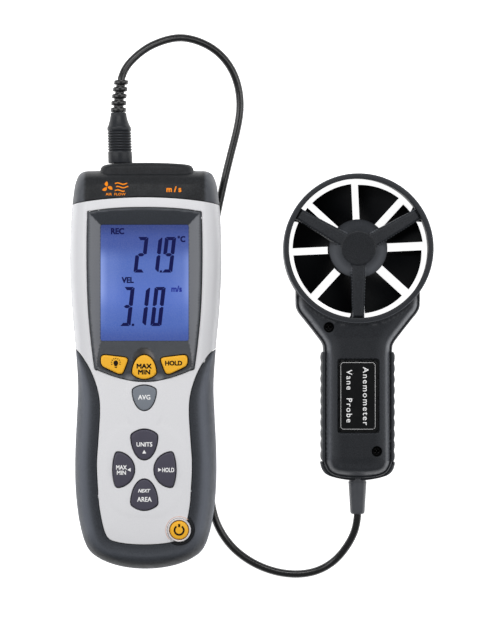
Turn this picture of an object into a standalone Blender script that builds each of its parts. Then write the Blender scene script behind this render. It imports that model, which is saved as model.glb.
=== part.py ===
"""Handheld vane anemometer: a meter with a rubber grip, and a vane probe on a cord.

The meter lies on its back at the origin, with its keys facing +Z and its socket end towards +Y. The probe
lies beside it at +X. Lengths are in millimetres here, and MM turns them into Blender's metres.
"""

import math

import bmesh
import bpy
import numpy as np
from mathutils import Matrix, Vector

MM = 0.001
GAP = 0.3  # clearance between pieces that touch on the real object
PARTS = "vane_anemometer"
CUTTERS = "cutters"

# Meter case: an outline drawn in towards its centre as the height leaves the parting line
PARTING = 22.0
CASE_TOP = 41.0
CASE_CENTRE = (0.0, -1.8)
CASE_HALF = (37.9, 99.5)
CASE_SIDE = [  # right half of the outline, bottom centre to top centre
    (0, -101.3), (13, -99.9), (23.5, -95.9), (29.6, -89.8), (33.3, -77), (35.1, -61), (35.3, -44),
    (34.5, -26), (33.9, -10), (35.0, 8), (36.8, 28), (37.9, 50), (37.4, 72), (36.1, 86), (34.6, 93),
    (31.6, 96.9), (24, 97.6), (0, 97.7),
]
FRONT_SECTIONS = [(22, 0), (30, 1.0), (35.5, 4.0), (38.3, 7.6), (40.2, 18), (41, 30)]  # height, inset
REAR_SECTIONS = [(0, 16), (2.2, 11.8), (6.5, 7.4), (13, 1.6), (22, 0)]
SHELL_WALL = 3.2
CAP_WALL = 2.8
POST_RADIUS = 4.0
CASE_POSTS = [(-26.5, 77), (26.5, 77), (-22, -66), (22, -66)]

# Rubber grip: a skin in a rebate round the sides and bottom, outside the key panel's edge
GRIP_SKIN = 1.3
GRIP_REBATE = GRIP_SKIN + GAP
REAR_GRIP_FOOT = 6.0
PANEL_SIDE = [  # right half of the key panel's edge, top to bottom centre
    (47, 13), (35, 8.5), (29.5, 2.5), (25.5, -5), (22.8, -14), (22.2, -23), (23.1, -38), (23.7, -48),
    (23.2, -60), (22.2, -71), (19, -83.4), (13, -86.9), (0, -88),
]

# Top cap, its boss and the socket that the probe plugs into
CAP_EDGE = (83.6, 3.0, 35.5)  # height of its arched lower edge, the arch's drop, and where it is reached
BOSS_LOW = (-22.4, 88.0, 8.0)
BOSS_HIGH = (24.0, 101.2, 34.0)
PLUG_X = -12.8
PLUG_Z = 20.0
SOCKET_RADIUS = 5.5
SOCKET_BORE = (4.0, 88.5, 86.0)  # its radius, its floor along Y, and the socket's foot

# Display
BEZEL_SIDE = [(0, -7.2), (12, -5.4), (22.6, -1.9), (24.6, 0.4), (27.3, 25), (28.2, 50), (27.9, 74.2),
              (26.6, 76.4), (14, 77.9), (0, 78.3)]
BEZEL_CENTRE = (0.0, 35.5)
BEZEL_HALF = (28.2, 42.8)
BEZEL_SECTIONS = [(36.2, 0), (40.6, 0), (42.6, 2.2)]
WINDOW = (21.6, 12.9, 69.9)  # half width, bottom and top of the opening
PCB_LOW, PCB_HIGH = 28.4, 30.0

# Keys: a slightly bowed side, widest a little way in, then a half oval to the tip
KEY_FOOT = 32.9
KEY_SLOT = 0.35  # gap round each key
BOWED_KEYS = {  # name: root point, heading in degrees, half width, length, bow depth, top height
    "maxmin_button": ((0, -6.1), 90, 6.0, 11.9, 2.5, 43.3),
    "average_button": ((0, -9.2), -90, 6.15, 12.5, 2.5, 42.2),
    "units_button": ((0, -30.9), -90, 6.55, 15.0, 2.6, 42.2),
    "area_button": ((0, -70.7), 90, 6.6, 15.3, 2.7, 42.2),
    "left_button": ((-16, -50.75), 0, 8.75, 11.1, 1.5, 42.2),
    "right_button": ((16, -50.75), 180, 8.75, 11.1, 1.5, 42.2),
}
LIGHT_KEY = [(-20.9, 5.7), (-8.1, 4.2), (-11.2, -3.9), (-20.9, 0.6)]
BEZEL_KEY_TOP = 43.3
POWER_CENTRE = (17.15, -80.5)
POWER_RADIUS, POWER_RING, POWER_RECESS = 4.6, 5.75, 7.7

# Back of the meter: battery bay and tilt stand
DOOR_BAY = ((-17, -79), (17, -13))
DOOR_SCREW = (0, -17.5)
BATTERY_LOW, BATTERY_HIGH = (-13.25, -76, 4.0), (13.25, -27.5, 21.5)
STAND_BAY = ((-17, 5), (17, 62))
STAND_ROOF = 3.8
STAND_AXIS = (59.0, 2.0)  # y and z of the hinge line, which runs along X

# Probe: ring, struts and impeller
PROBE_X = 106.3
RING_CENTRE = (PROBE_X, 58.8)
RING_RADIUS, RING_BORE, RING_DEPTH = 37.5, 34.8, 25.0
HUB_RADIUS, HUB_DISC = 14.7, 8.5
STRUT_ANGLES = (-90, 30, 150)
BLADES, BLADE_TIP, BLADE_ROOT, BLADE_SLIT = 8, 32.6, 11.5, 1.9
BLADE_MID, BLADE_RISE, BLADE_THICK = 12.4, 5.2, 1.1

# Probe handle: a half width at each station along Y
PROBE_STATIONS = [(-58, 9.5, 0.8), (-56.6, 12.8, 0.93), (-53.5, 15.4, 1), (-48.5, 17.2, 1), (8.4, 17.2, 1),
                  (28, 31.2, 1), (37.6, 31.2, 1)]  # y, half width, share of the full height
PROBE_PARTING = 12.0
PROBE_WALL = 2.2
PROBE_FRONT = [(0, 17.0), (0.9, 19.6), (3.2, 20.8), (4.4, 23.5)]  # inset and height, side to plateau
PROBE_REAR = [(0, 4.0), (2.6, 0.9), (5.0, 0.0)]
PROBE_SCREWS = [(-14.8, 19.3), (9.2, -42.7)]  # from the probe's centre line
LABEL = ((-10.0, -33.0), (9.9, 3.0))
SIDE_GRIP = (-48.0, 6.9)
GRIP_RIBS = 10

# Cord: rests on the surface except where it rises to the plug and to the probe
CORD_RADIUS = 1.95
CORD_SPACING = 9.0
CORD_END = 1.2
CORD_ROUTE = [
    (-12.8, 143.4, 20), (-12.5, 146.2, 20), (-10.0, 150.5, 19.5), (-4.5, 156, 18.2), (3.5, 161.5, 16),
    (17.3, 165.6, 12), (31.3, 161.8, 8), (40.5, 154, 5.2), (45.6, 144, 3.4), (47.3, 132, 2.5), (45.6, 120, 2.2),
    (41.8, 105, 2.1), (37.4, 86, 2.1), (34, 68, 2.1), (32, 40, 2.1), (31.2, 5, 2.1), (30.8, -30, 2.1),
    (31.4, -58, 2.1), (34, -77, 2.1), (41, -90, 2.1), (51, -98.8, 2.1), (63, -104.3, 2.1),
    (75, -106.2, 2.2), (86, -104.6, 2.7), (95, -99.3, 4.2), (101, -91.8, 7.2), (104.8, -84.5, 10.2),
    (106.2, -78.5, 11.9), (106.3, -75.1, 12),
]

RUBBER, SHELL, DARK, KEY_YELLOW = "rubber", "light plastic", "dark plastic", "yellow key"
FINISHES = {  # colour, roughness, metallic
    SHELL: ((0.66, 0.66, 0.68), 0.45, 0),
    DARK: ((0.035, 0.037, 0.041), 0.42, 0),
    RUBBER: ((0.085, 0.095, 0.115), 0.75, 0),
    KEY_YELLOW: ((0.98, 0.56, 0.06), 0.5, 0),
    "grey key": ((0.26, 0.29, 0.33), 0.5, 0),
    "dark key": ((0.105, 0.1, 0.135), 0.5, 0),
    "display": ((0.06, 0.1, 0.42), 0.15, 0),
    "clear window": ((0.8, 0.85, 0.9), 0.05, 0),
    "circuit board": ((0.02, 0.16, 0.06), 0.5, 0),
    "steel": ((0.55, 0.55, 0.57), 0.3, 1),
    "battery case": ((0.12, 0.13, 0.15), 0.35, 0.4),
    "brass": ((0.7, 0.5, 0.2), 0.35, 1),
    "cord jacket": ((0.015, 0.016, 0.018), 0.55, 0),
    "black plastic": ((0.012, 0.012, 0.013), 0.4, 0),
}


# Scene, materials and small helpers


def start_scene():
    for thing in list(bpy.data.objects):
        bpy.data.objects.remove(thing)
    for name in (PARTS, CUTTERS):
        bpy.context.scene.collection.children.link(bpy.data.collections.new(name))


def finish(thing, look):
    """Gives the object a Principled material of its own."""
    colour, roughness, metallic = FINISHES[look]
    material = bpy.data.materials.new(thing.name)
    material.use_nodes = True
    shader = material.node_tree.nodes["Principled BSDF"]
    shader.inputs["Base Color"].default_value = (*colour, 1)
    shader.inputs["Roughness"].default_value = roughness
    shader.inputs["Metallic"].default_value = metallic
    material.diffuse_color = (*colour, 1)
    thing.data.materials.append(material)
    return thing


def add_solid(name, shape, look=None):
    """Turns a bmesh into an object: a part if it has a look, and a cutter if not."""
    bmesh.ops.recalc_face_normals(shape, faces=shape.faces)
    mesh = bpy.data.meshes.new(name)
    shape.to_mesh(mesh)
    shape.free()
    thing = bpy.data.objects.new(name, mesh)
    bpy.data.collections[PARTS if look else CUTTERS].objects.link(thing)
    if look:
        return finish(thing, look)
    thing.hide_render = True
    thing.display_type = "WIRE"
    return thing


def apply_boolean(target, tools, operation):
    for tool in tools:
        step = target.modifiers.new(tool.name, "BOOLEAN")
        step.operation = operation
        step.solver = "EXACT"
        step.object = tool
    return target


def cut(target, *tools):
    return apply_boolean(target, tools, "DIFFERENCE")


def join(target, *tools):
    return apply_boolean(target, tools, "UNION")


def keep(target, *tools):
    return apply_boolean(target, tools, "INTERSECT")


def set_origin(thing, point):
    """Puts the object's origin on a point without moving its mesh."""
    shift = Vector(point) * MM
    thing.data.transform(Matrix.Translation(-shift))
    thing.location = shift
    return thing


def shade_round(thing):
    thing.data.shade_smooth()
    thing.data.set_sharp_from_angle(angle=math.radians(35))
    return thing


# Shapes


def box(name, low, high, look=None, bevel=0.0):
    low, high = Vector(low) * MM, Vector(high) * MM
    shape = bmesh.new()
    size = Matrix.Diagonal((*(high - low), 1))
    bmesh.ops.create_cube(shape, size=1, matrix=Matrix.Translation((low + high) / 2) @ size)
    thing = add_solid(name, shape, look)
    if bevel:
        rounding = thing.modifiers.new("rounded edges", "BEVEL")
        rounding.width = bevel * MM
        rounding.segments = 1
    return thing


def add_post(shape, centre, radius, low, high, sides=14):
    """Adds an upright cylinder to a bmesh."""
    place = Matrix.Translation(Vector((*centre, (low + high) / 2)) * MM)
    bmesh.ops.create_cone(
        shape, cap_ends=True, segments=sides, radius1=radius * MM, radius2=radius * MM,
        depth=(high - low) * MM, matrix=place,
    )


def post(name, centre, radius, low, high, look=None, sides=20):
    shape = bmesh.new()
    add_post(shape, centre, radius, low, high, sides)
    return shade_round(add_solid(name, shape, look))


def posts(name, centres, radius, low, high):
    """Several upright cylinders as one cutter."""
    shape = bmesh.new()
    for centre in centres:
        add_post(shape, centre, radius, low, high)
    return add_solid(name, shape)


def loft(name, rings, look=None):
    """A closed solid through rings of equally many points."""
    shape = bmesh.new()
    rows = [[shape.verts.new(Vector(point) * MM) for point in ring] for ring in rings]
    count = len(rows[0])
    for lower, upper in zip(rows, rows[1:]):
        for here in range(count):
            there = (here + 1) % count
            shape.faces.new((lower[here], lower[there], upper[there], upper[here]))
    shape.faces.new(rows[0])
    shape.faces.new(rows[-1])
    return add_solid(name, shape, look)


def prism(name, outline, low, high, look=None):
    return loft(name, [[(x, y, z) for x, y in outline] for z in (low, high)], look)


def turned(name, profile, look=None, centre=(0, 0), along="Z", steps=24):
    """A profile of (radius, place along the axis) pairs, spun with a Screw modifier.

    The profile runs down its outer side. Along Z the centre is (x, y), and along Y it is (x, z).
    """
    mesh = bpy.data.meshes.new(name)
    points = [(radius * MM, 0, place * MM) for radius, place in profile]
    edges = [(index, index + 1) for index in range(len(points) - 1)]
    if profile[0][0] > 0:
        edges.append((len(points) - 1, 0))
    mesh.from_pydata(points, edges, [])
    thing = bpy.data.objects.new(name, mesh)
    bpy.data.collections[PARTS if look else CUTTERS].objects.link(thing)
    spin = thing.modifiers.new("spin", "SCREW")
    spin.steps = spin.render_steps = steps
    spin.use_merge_vertices = True
    spin.merge_threshold = 0.00001
    spin.use_smooth_shade = False
    if along == "Y":
        thing.rotation_euler.x = -math.pi / 2
        thing.location = Vector((centre[0], 0, centre[1])) * MM
    else:
        thing.location = Vector((*centre, 0)) * MM
    if look:
        return finish(thing, look)
    thing.hide_render = True
    thing.display_type = "WIRE"
    return thing


def smooth(points, steps, closed=False):
    """A Catmull-Rom curve through the points, with this many steps to each span."""
    points = np.array(points, float)
    if closed:
        before, after, beyond = (np.roll(points, shift, axis=0) for shift in (1, -1, -2))
    else:
        first, last = 2 * points[0] - points[1], 2 * points[-1] - points[-2]
        padded = np.vstack([first, points, last])
        before, points, after, beyond = padded[:-3], padded[1:-2], padded[2:-1], padded[3:]
    curve = []
    for p0, p1, p2, p3 in zip(before, points, after, beyond):
        for t in np.arange(steps) / steps:
            cubic = (3 * p1 - p0 - 3 * p2 + p3) * t**3
            curve.append(0.5 * (2 * p1 + (p2 - p0) * t + (2 * p0 - 5 * p1 + 4 * p2 - p3) * t**2 + cubic))
    if not closed:
        curve.append(after[-1])
    return np.array(curve)


def mirrored(side):
    """A whole outline from its right half, whose first and last points lie on the centre line."""
    return side + [(-x, y) for x, y in reversed(side[1:-1])]


def shifted(line, distance):
    """An open line moved sideways, to its right as it runs."""
    line = np.array(line, float)
    ahead = np.gradient(line, axis=0)
    ahead /= np.linalg.norm(ahead, axis=1, keepdims=True)
    return line + distance * np.column_stack([ahead[:, 1], -ahead[:, 0]])


def drawn_in(outline, inset, centre, half):
    """The outline scaled about its centre so that its widest and longest points move in by the inset."""
    centre = np.array(centre, float)
    return centre + (np.array(outline) - centre) * (1 - inset / np.array(half))


def rounded_rectangle(low, high, radius, steps=4):
    corners = [(high[0], low[1], -90), (high[0], high[1], 0), (low[0], high[1], 90), (low[0], low[1], 180)]
    middle = np.add(low, high) / 2
    outline = []
    for x, y, start in corners:
        inner = np.array((x, y)) - np.sign((x, y) - middle) * radius
        for angle in np.radians(start + np.arange(steps + 1) * 90 / steps):
            outline.append(inner + radius * np.array((math.cos(angle), math.sin(angle))))
    return outline


# Meter case


def case_ring(height, inset):
    outline = mirrored(CASE_SIDE)
    return [(x, y, height) for x, y in drawn_in(outline, inset, CASE_CENTRE, CASE_HALF)]


def case_solid(name, sections, shrink=0.0, look=None):
    """The case's outer form between the sections, or an inner copy of it, thinner by the shrink all round."""
    rings = []
    for height, inset in sections:
        span = CASE_TOP - PARTING if height > PARTING else PARTING
        level = PARTING + (height - PARTING) * (1 - shrink / span)
        rings.append(case_ring(level, inset + shrink))
    return loft(name, rings, look)


def whole_case(name, shrink):
    return case_solid(name, REAR_SECTIONS + FRONT_SECTIONS[1:], shrink)


def front_case(name, look):
    return case_solid(name, [(PARTING + GAP / 2, 0)] + FRONT_SECTIONS[1:], 0, look)


def rear_case(name, look):
    return case_solid(name, REAR_SECTIONS[:-1] + [(PARTING - GAP / 2, 0)], 0, look)


def cap_region(name, shift):
    """Everything past the cap's arched lower edge."""
    edge, drop, reach = CAP_EDGE
    arch = [(x, edge + shift - drop * (x / reach) ** 2) for x in np.linspace(48, -48, 13)]
    return prism(name, arch + [(-48, 115), (48, 115)], -5, 50)


def grip_region(name, shift, low, high):
    """Everything outside the key panel's edge, below the point where that edge meets the case's side."""
    left = [(-x, y) for x, y in reversed(PANEL_SIDE[:-1])]
    edge = shifted(PANEL_SIDE + left, shift)
    return prism(name, list(edge) + [(-47, -112), (47, -112)], low, high)


def key_outline(root, heading, half_width, length, bow, grow=0.0):
    """A bowed side at the root, and a half oval to the tip, along the heading."""
    half_width, length = half_width + grow, length + 2 * grow
    side = [(bow * (u * u), half_width * u) for u in np.linspace(-1, 1, 5)]
    tip = length - bow
    oval = [(bow + tip * math.sin(a), half_width * math.cos(a)) for a in np.linspace(0, math.pi, 11)[1:-1]]
    turn = math.radians(heading)
    along, across = np.array((math.cos(turn), math.sin(turn))), np.array((-math.sin(turn), math.cos(turn)))
    start = np.array(root) - along * grow
    return [start + along * a + across * b for a, b in side + oval]


def light_outline(side, grow=0.0):
    """The lamp key's rounded four-sided outline; side is 1 for it and -1 for its mirror image."""
    outline = smooth(LIGHT_KEY, 1, closed=True)
    centre = outline.mean(axis=0)
    away = outline - centre
    outline = centre + away * (1 + 1.35 * grow / np.linalg.norm(away, axis=1, keepdims=True))
    return [(side * x, y) for x, y in outline]


def make_key(name, outline, top, look):
    """A keycap with its top edge broken, and its origin at its foot, where it slides."""
    centre = np.mean(outline, axis=0)
    crown = centre + (np.array(outline) - centre) * 0.92
    rings = [[(x, y, KEY_FOOT) for x, y in outline], [(x, y, top - 0.7) for x, y in outline]]
    rings.append([(x, y, top) for x, y in crown])
    return set_origin(loft(name, rings, look), (*centre, KEY_FOOT))


def make_case_shells():
    front = front_case("front_shell", SHELL)
    rear = rear_case("rear_shell", SHELL)
    cavity = whole_case("case_cavity", SHELL_WALL)
    beyond = cap_region("cap_region_for_shells", -GAP / 2)
    for shell, low, high in ((front, 15, 50), (rear, REAR_GRIP_FOOT - GAP, 30)):
        cut(shell, cavity, beyond)
        rebate = grip_region(f"{shell.name}_rebate", GAP, low, high)
        cut(rebate, whole_case(f"{shell.name}_rebate_floor", GRIP_REBATE))
        cut(shell, rebate)
    add_posts(front, PARTING + GAP / 2, 45)
    add_posts(rear, -5, PARTING - GAP / 2)
    cut(front, posts("front_pilot_holes", CASE_POSTS, 1.5, 15, 32.5))
    cut(rear, posts("rear_screw_holes", CASE_POSTS, 1.5, -5, 30))
    cut(rear, posts("rear_screw_wells", CASE_POSTS, 2.8, -5, 9.0))
    cut_front_openings(front)
    add_back_features(rear)
    return front, rear


def add_posts(shell, low, high):
    """Joins the four screw posts, trimmed to stay inside the case's wall."""
    tool = posts(f"{shell.name}_posts", CASE_POSTS, POST_RADIUS, low, high)
    join(shell, keep(tool, whole_case(f"{shell.name}_post_limit", 2.2)))


def cut_front_openings(front):
    bezel = drawn_in(bezel_outline(), -GAP, BEZEL_CENTRE, BEZEL_HALF)
    cut(front, prism("bezel_opening", bezel, 30, 50))
    for name, (root, heading, half_width, length, bow, _) in BOWED_KEYS.items():
        if name != "maxmin_button":
            slot = key_outline(root, heading, half_width, length, bow, KEY_SLOT)
            cut(front, prism(f"{name}_slot", slot, 30, 50))
    cut(front, post("power_hole", POWER_CENTRE, POWER_RING + GAP, 30, 50, sides=24))
    cut(front, post("power_recess", POWER_CENTRE, POWER_RECESS, 38.4, 50, sides=24))


def add_back_features(rear):
    """The stand's bay with its roof, the battery bay, and the shelf that takes the door's screw."""
    (left, bottom), (right, top) = STAND_BAY
    roof = box("stand_bay_roof", (left - 2.4, bottom - 2.4, 1.5), (right + 2.4, top + 2.4, 6.2))
    shelf = box("door_shelf", (-9, DOOR_SCREW[1] - 3.5, 2.7), (9, bottom, 8.5))
    join(rear, roof, shelf)
    cut(rear, box("stand_bay", (left, bottom, -2), (right, top, STAND_ROOF)))
    cut(rear, box("door_bay", (*DOOR_BAY[0], -2), (*DOOR_BAY[1], 2.7)))
    low, high = (DOOR_BAY[0][0] + 1.5, DOOR_BAY[0][1] + 1.5), (DOOR_BAY[1][0] - 1.5, DOOR_SCREW[1] - 4)
    cut(rear, box("battery_bay", (*low, -2), (*high, 12)))
    cut(rear, post("door_screw_pilot", DOOR_SCREW, 1.5, 0, 7.4))


def place_along_x(thing):
    thing.rotation_euler.y = math.pi / 2
    thing.location = Vector((0, *STAND_AXIS)) * MM
    return thing


def make_grips():
    """Front and rear halves of the rubber grip, as skins over the shells' rebates."""
    under = whole_case("grip_underside", GRIP_SKIN)
    front = keep(front_case("front_grip", RUBBER), grip_region("front_grip_region", 0, 15, 50))
    rear = keep(rear_case("rear_grip", RUBBER), grip_region("rear_grip_region", 0, REAR_GRIP_FOOT, 30))
    cut(front, under, post("grip_recess", POWER_CENTRE, POWER_RECESS, 30, 50, sides=24))
    cut(rear, under)


def make_top_cap():
    cap = case_solid("top_cap", REAR_SECTIONS + FRONT_SECTIONS[1:], 0, DARK)
    keep(cap, cap_region("cap_region", GAP / 2))
    join(cap, box("socket_boss", BOSS_LOW, BOSS_HIGH, bevel=2.5))
    cut(cap, whole_case("cap_cavity", CAP_WALL))
    cut(cap, rod_along_y("socket_hole", SOCKET_RADIUS + GAP, 80, 110, (PLUG_X, PLUG_Z)))
    face, (bore, floor, foot) = BOSS_HIGH[1] - GAP, SOCKET_BORE
    profile = [
        (0, floor), (bore, floor), (bore, face), (SOCKET_RADIUS, face), (SOCKET_RADIUS, foot), (0, foot),
    ]
    turned("sensor_socket", profile, "black plastic", (PLUG_X, PLUG_Z), "Y")


def rod_along_y(name, radius, low, high, centre, look=None, sides=24):
    """A cylinder along Y, whose centre is (x, z)."""
    return turned(name, [(0, high), (radius, high), (radius, low), (0, low)], look, centre, "Y", sides)


# Display and keys


def bezel_outline():
    return smooth(mirrored(BEZEL_SIDE), 1, closed=True)


def make_display():
    half, bottom, top = WINDOW
    rings = []
    for height, inset in BEZEL_SECTIONS:
        rings.append([(x, y, height) for x, y in drawn_in(bezel_outline(), inset, BEZEL_CENTRE, BEZEL_HALF)])
    bezel = loft("lcd_bezel", rings, DARK)
    opening = rounded_rectangle((-half, bottom), (half, top), 1.5)
    seat = rounded_rectangle((-half - 2.1, bottom - 2), (half + 2.1, top + 2), 1.5)
    cut(bezel, prism("display_opening", opening, 30, 50), prism("window_seat", seat, 30, 38.7))
    for side, name in ((1, "light"), (-1, "hold")):
        cut(bezel, prism(f"{name}_slot", light_outline(side, KEY_SLOT), 30, 50))
    root, heading, half_width, length, bow, _ = BOWED_KEYS["maxmin_button"]
    cut(bezel, prism("maxmin_slot", key_outline(root, heading, half_width, length, bow, KEY_SLOT), 30, 50))
    stack = {  # low, high and look of each layer behind the opening
        "lcd_window": (37.0, 38.4, "clear window"),
        "lcd_panel": (34.4, 36.7, "display"),
        "lcd_backlight": (PCB_HIGH + GAP, 34.1, SHELL),
    }
    for name, (low, high, look) in stack.items():
        layer = rounded_rectangle((-half - 1.8, bottom - 1.7), (half + 1.8, top + 1.7), 1.2, 2)
        prism(name, layer, low, high, look)


def make_keys():
    for name, (root, heading, half_width, length, bow, top) in BOWED_KEYS.items():
        look = {"maxmin_button": KEY_YELLOW, "average_button": "grey key"}.get(name, "dark key")
        make_key(name, key_outline(root, heading, half_width, length, bow), top, look)
    make_key("light_button", light_outline(1), BEZEL_KEY_TOP, KEY_YELLOW)
    make_key("hold_button", light_outline(-1), BEZEL_KEY_TOP, KEY_YELLOW)
    power = post("power_button", POWER_CENTRE, POWER_RADIUS, KEY_FOOT, 41.0, KEY_YELLOW)
    set_origin(power, (*POWER_CENTRE, KEY_FOOT))
    bore = POWER_RADIUS + GAP
    ring = [(bore, 41.2), (POWER_RING, 40.8), (POWER_RING, 35.5), (bore, 35.5)]
    turned("power_ring", ring, "steel", POWER_CENTRE)


# Inside and back of the meter


def make_boards():
    board = box("main_pcb", (-29, -88, PCB_LOW), (29, 79, PCB_HIGH), "circuit board")
    cut(board, posts("pcb_post_holes", CASE_POSTS, POST_RADIUS + 0.4, 20, 40))
    keep(board, whole_case("pcb_limit", SHELL_WALL + 1))
    membrane = rounded_rectangle((-19, -86.5), (22.5, 6.5), 4, 2)
    membrane = prism("keypad_membrane", membrane, PCB_HIGH + GAP, 31.7, "grey key")
    cut(membrane, posts("membrane_post_holes", CASE_POSTS, POST_RADIUS + 0.4, 20, 40))


def make_battery():
    box("battery", BATTERY_LOW, BATTERY_HIGH, "battery case", bevel=1.5)
    top = BATTERY_HIGH[1] + GAP
    box("battery_clip", (-12.8, top, 9.0), (12.8, top + 4, 20), "black plastic", bevel=0.8)
    (left, bottom), (right, high) = DOOR_BAY
    low, high = (left + GAP, bottom + GAP), (right - GAP, high - GAP)
    door = prism("battery_door", rounded_rectangle(low, high, 2), 0, 2.4, SHELL)
    keep(door, whole_case("door_limit", 0.0))
    cut(
        door,
        post("door_screw_hole", DOOR_SCREW, 1.5, -5, 5),
        post("door_screw_well", DOOR_SCREW, 2.8, -5, 1.5),
    )
    set_origin(door, (*DOOR_SCREW, 0))
    screw("battery_door_screw", DOOR_SCREW, 2.4, (0.4, 1.2), 7.0)


def screw(name, centre, head_radius, head, tip):
    """A screw whose head spans two heights and whose shank ends at the tip."""
    thing = post(name, centre, head_radius, *head, "steel", sides=14)
    low, high = sorted((tip, sum(head) / 2))
    return join(thing, post(f"{name}_shank", centre, 0.5 * head_radius, low, high, sides=8))


def make_case_screws():
    for number, centre in enumerate(CASE_POSTS, 1):
        screw(f"case_screw_{number}", centre, 2.4, (6.7, 8.7), 31.0)


def make_stand(rear):
    """A flat stand hinged near its top edge, with its pin held in the bay's side walls."""
    y, z = STAND_AXIS
    (left, bottom), (right, _) = STAND_BAY
    outline = rounded_rectangle((left + 0.4, bottom + 1.5), (right - 0.4, y), 1.2)
    stand = prism("tilt_stand", outline, 0.6, 2.8, RUBBER)
    barrel = place_along_x(rod_z("stand_barrel", 1.4, right - 0.4))
    join(stand, barrel)
    cut(stand, place_along_x(rod_z("stand_barrel_bore", 1.1, 30)))
    notch = rounded_rectangle((-7, bottom - 4), (7, bottom + 5), 2, 2)
    cut(stand, prism("stand_notch", notch, -2, 6))
    set_origin(stand, (0, y, z))
    cut(rear, place_along_x(rod_z("stand_pin_hole", 1.1, 24)))
    place_along_x(rod_z("stand_pin", 0.8, right + 1.9, "steel"))


def rod_z(name, radius, half_length, look=None, sides=12):
    profile = [(0, half_length), (radius, half_length), (radius, -half_length), (0, -half_length)]
    return turned(name, profile, look, steps=sides)


# Plug and cord


def make_plug():
    centre = (PLUG_X, PLUG_Z)
    base = BOSS_HIGH[1] + GAP
    profile = [(0, 126.8), (4.0, 126.8), (4.0, 125), (6.0, 119.5), (6.0, 117.5), (5.7, 117.5), (5.7, 107.5),
               (6.0, 107.5), (6.0, base), (3.6, base), (3.6, 90), (0, 90)]
    turned("plug_body", profile, "black plastic", centre, "Y")
    relief = [(0, 143)] + ribbed(143, 127.1, (3.4, 3.8), 1.1, 4) + [(0, 127.1)]
    turned("plug_strain_relief", relief, "cord jacket", centre, "Y", 14)


def ribbed(top, bottom, radii, groove, ribs):
    """Profile points down a sleeve with grooves between its ribs, whose radius changes from rib to rib."""
    pitch = (top - bottom) / (ribs - 0.4)
    profile = []
    for rib, radius in enumerate(np.linspace(*radii, ribs)):
        low = top - rib * pitch
        profile += [(radius, low), (radius, low - 0.6 * pitch)]
        if rib < ribs - 1:
            profile += [(radius - groove, low - 0.6 * pitch), (radius - groove, low - pitch)]
    return profile


def resample(curve, spacing):
    """Points along the curve, this far apart or a little less, with a short square end at each end."""
    steps = np.linalg.norm(np.diff(curve, axis=0), axis=1)
    along = np.concatenate([[0], np.cumsum(steps)])
    places = np.linspace(0, along[-1], int(along[-1] / spacing) + 2)
    places = np.concatenate([[0, CORD_END], places[1:-1], [along[-1] - CORD_END, along[-1]]])
    return np.column_stack([np.interp(places, along, curve[:, axis]) for axis in range(3)])


def make_cord():
    data = bpy.data.curves.new("probe_cord", "CURVE")
    data.dimensions = "3D"
    data.bevel_depth = CORD_RADIUS * MM
    data.bevel_resolution = 2
    data.use_fill_caps = True
    route = resample(smooth(CORD_ROUTE, 12), CORD_SPACING)
    spline = data.splines.new("POLY")
    spline.points.add(len(route) - 1)
    for point, place in zip(spline.points, route):
        point.co = (*(place * MM), 1)
    cord = bpy.data.objects.new("probe_cord", data)
    bpy.data.collections[PARTS].objects.link(cord)
    return finish(cord, "cord jacket")


# Probe handle


def probe_solid(name, edge, parting, narrower=0.0, deeper=0.0, look=None):
    """One half of the handle between its parting height and the heights in edge, lofted along Y."""
    rings = []
    for y, half, share in PROBE_STATIONS:
        side = [(half - narrower, parting)]
        for inset, height in edge:
            shrunk = height - math.copysign(deeper, height - PROBE_PARTING)
            side.append((half - narrower - inset, PROBE_PARTING + (shrunk - PROBE_PARTING) * share))
        place = y + narrower if y < 0 and half < 17 else y
        ring = [(PROBE_X + x, place, z) for x, z in side]
        ring += [(PROBE_X - x, place, z) for x, z in reversed(side)]
        rings.append(ring)
    return loft(name, rings, look)


def make_probe_shells():
    front = probe_solid("probe_front_shell", PROBE_FRONT, PROBE_PARTING + GAP / 2, look=DARK)
    rear = probe_solid("probe_rear_shell", PROBE_REAR, PROBE_PARTING - GAP / 2, look=DARK)
    seat = post("ring_seat", RING_CENTRE, RING_RADIUS + GAP, -5, 40, sides=64)
    wall = post("ring_seat_wall", RING_CENTRE, RING_RADIUS + GAP + PROBE_WALL, -5, 40, sides=64)
    neck = rod_along_y("relief_hole", 5.0, -70, -50, (PROBE_X, PROBE_PARTING))
    screws = [(PROBE_X + x, y) for x, y in PROBE_SCREWS]
    for shell, edge, parting in ((front, PROBE_FRONT, 5), (rear, PROBE_REAR, 19)):
        hollow = probe_solid(f"{shell.name}_hollow", edge, parting, PROBE_WALL, PROBE_WALL)
        cut(shell, cut(hollow, wall), seat, neck)
        for side in (-1, 1):
            near, far = sorted((PROBE_X + side * 16.4, PROBE_X + side * 25))
            rebate = box(f"{shell.name}_rebate_{side}", (near, SIDE_GRIP[0] - GAP, 2.7),
                         (far, SIDE_GRIP[1] + GAP, 20.3))
            cut(shell, rebate)
    join(front, posts("probe_front_posts", screws, 3.8, PROBE_PARTING + GAP / 2, 22))
    join(rear, posts("probe_rear_posts", screws, 3.4, 1.2, PROBE_PARTING - GAP / 2))
    cut(
        front,
        posts("probe_screw_holes", screws, 1.4, 5, 30),
        posts("probe_screw_wells", screws, 2.55, 17.5, 30),
    )
    cut(rear, posts("probe_pilot_holes", screws, 1.4, 3.7, 20))
    low, high = (np.array(corner) + (PROBE_X, 0) for corner in LABEL)
    cut(front, prism("label_recess", rounded_rectangle(low - GAP, high + GAP, 2.3), 22.6, 30))
    prism("label_plate", rounded_rectangle(low, high, 2), 22.9, 23.4, "black plastic")
    for number, centre in enumerate(screws, 1):
        screw(f"probe_screw_{number}", centre, 2.1, (17.8, 19.6), 4.2)


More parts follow.
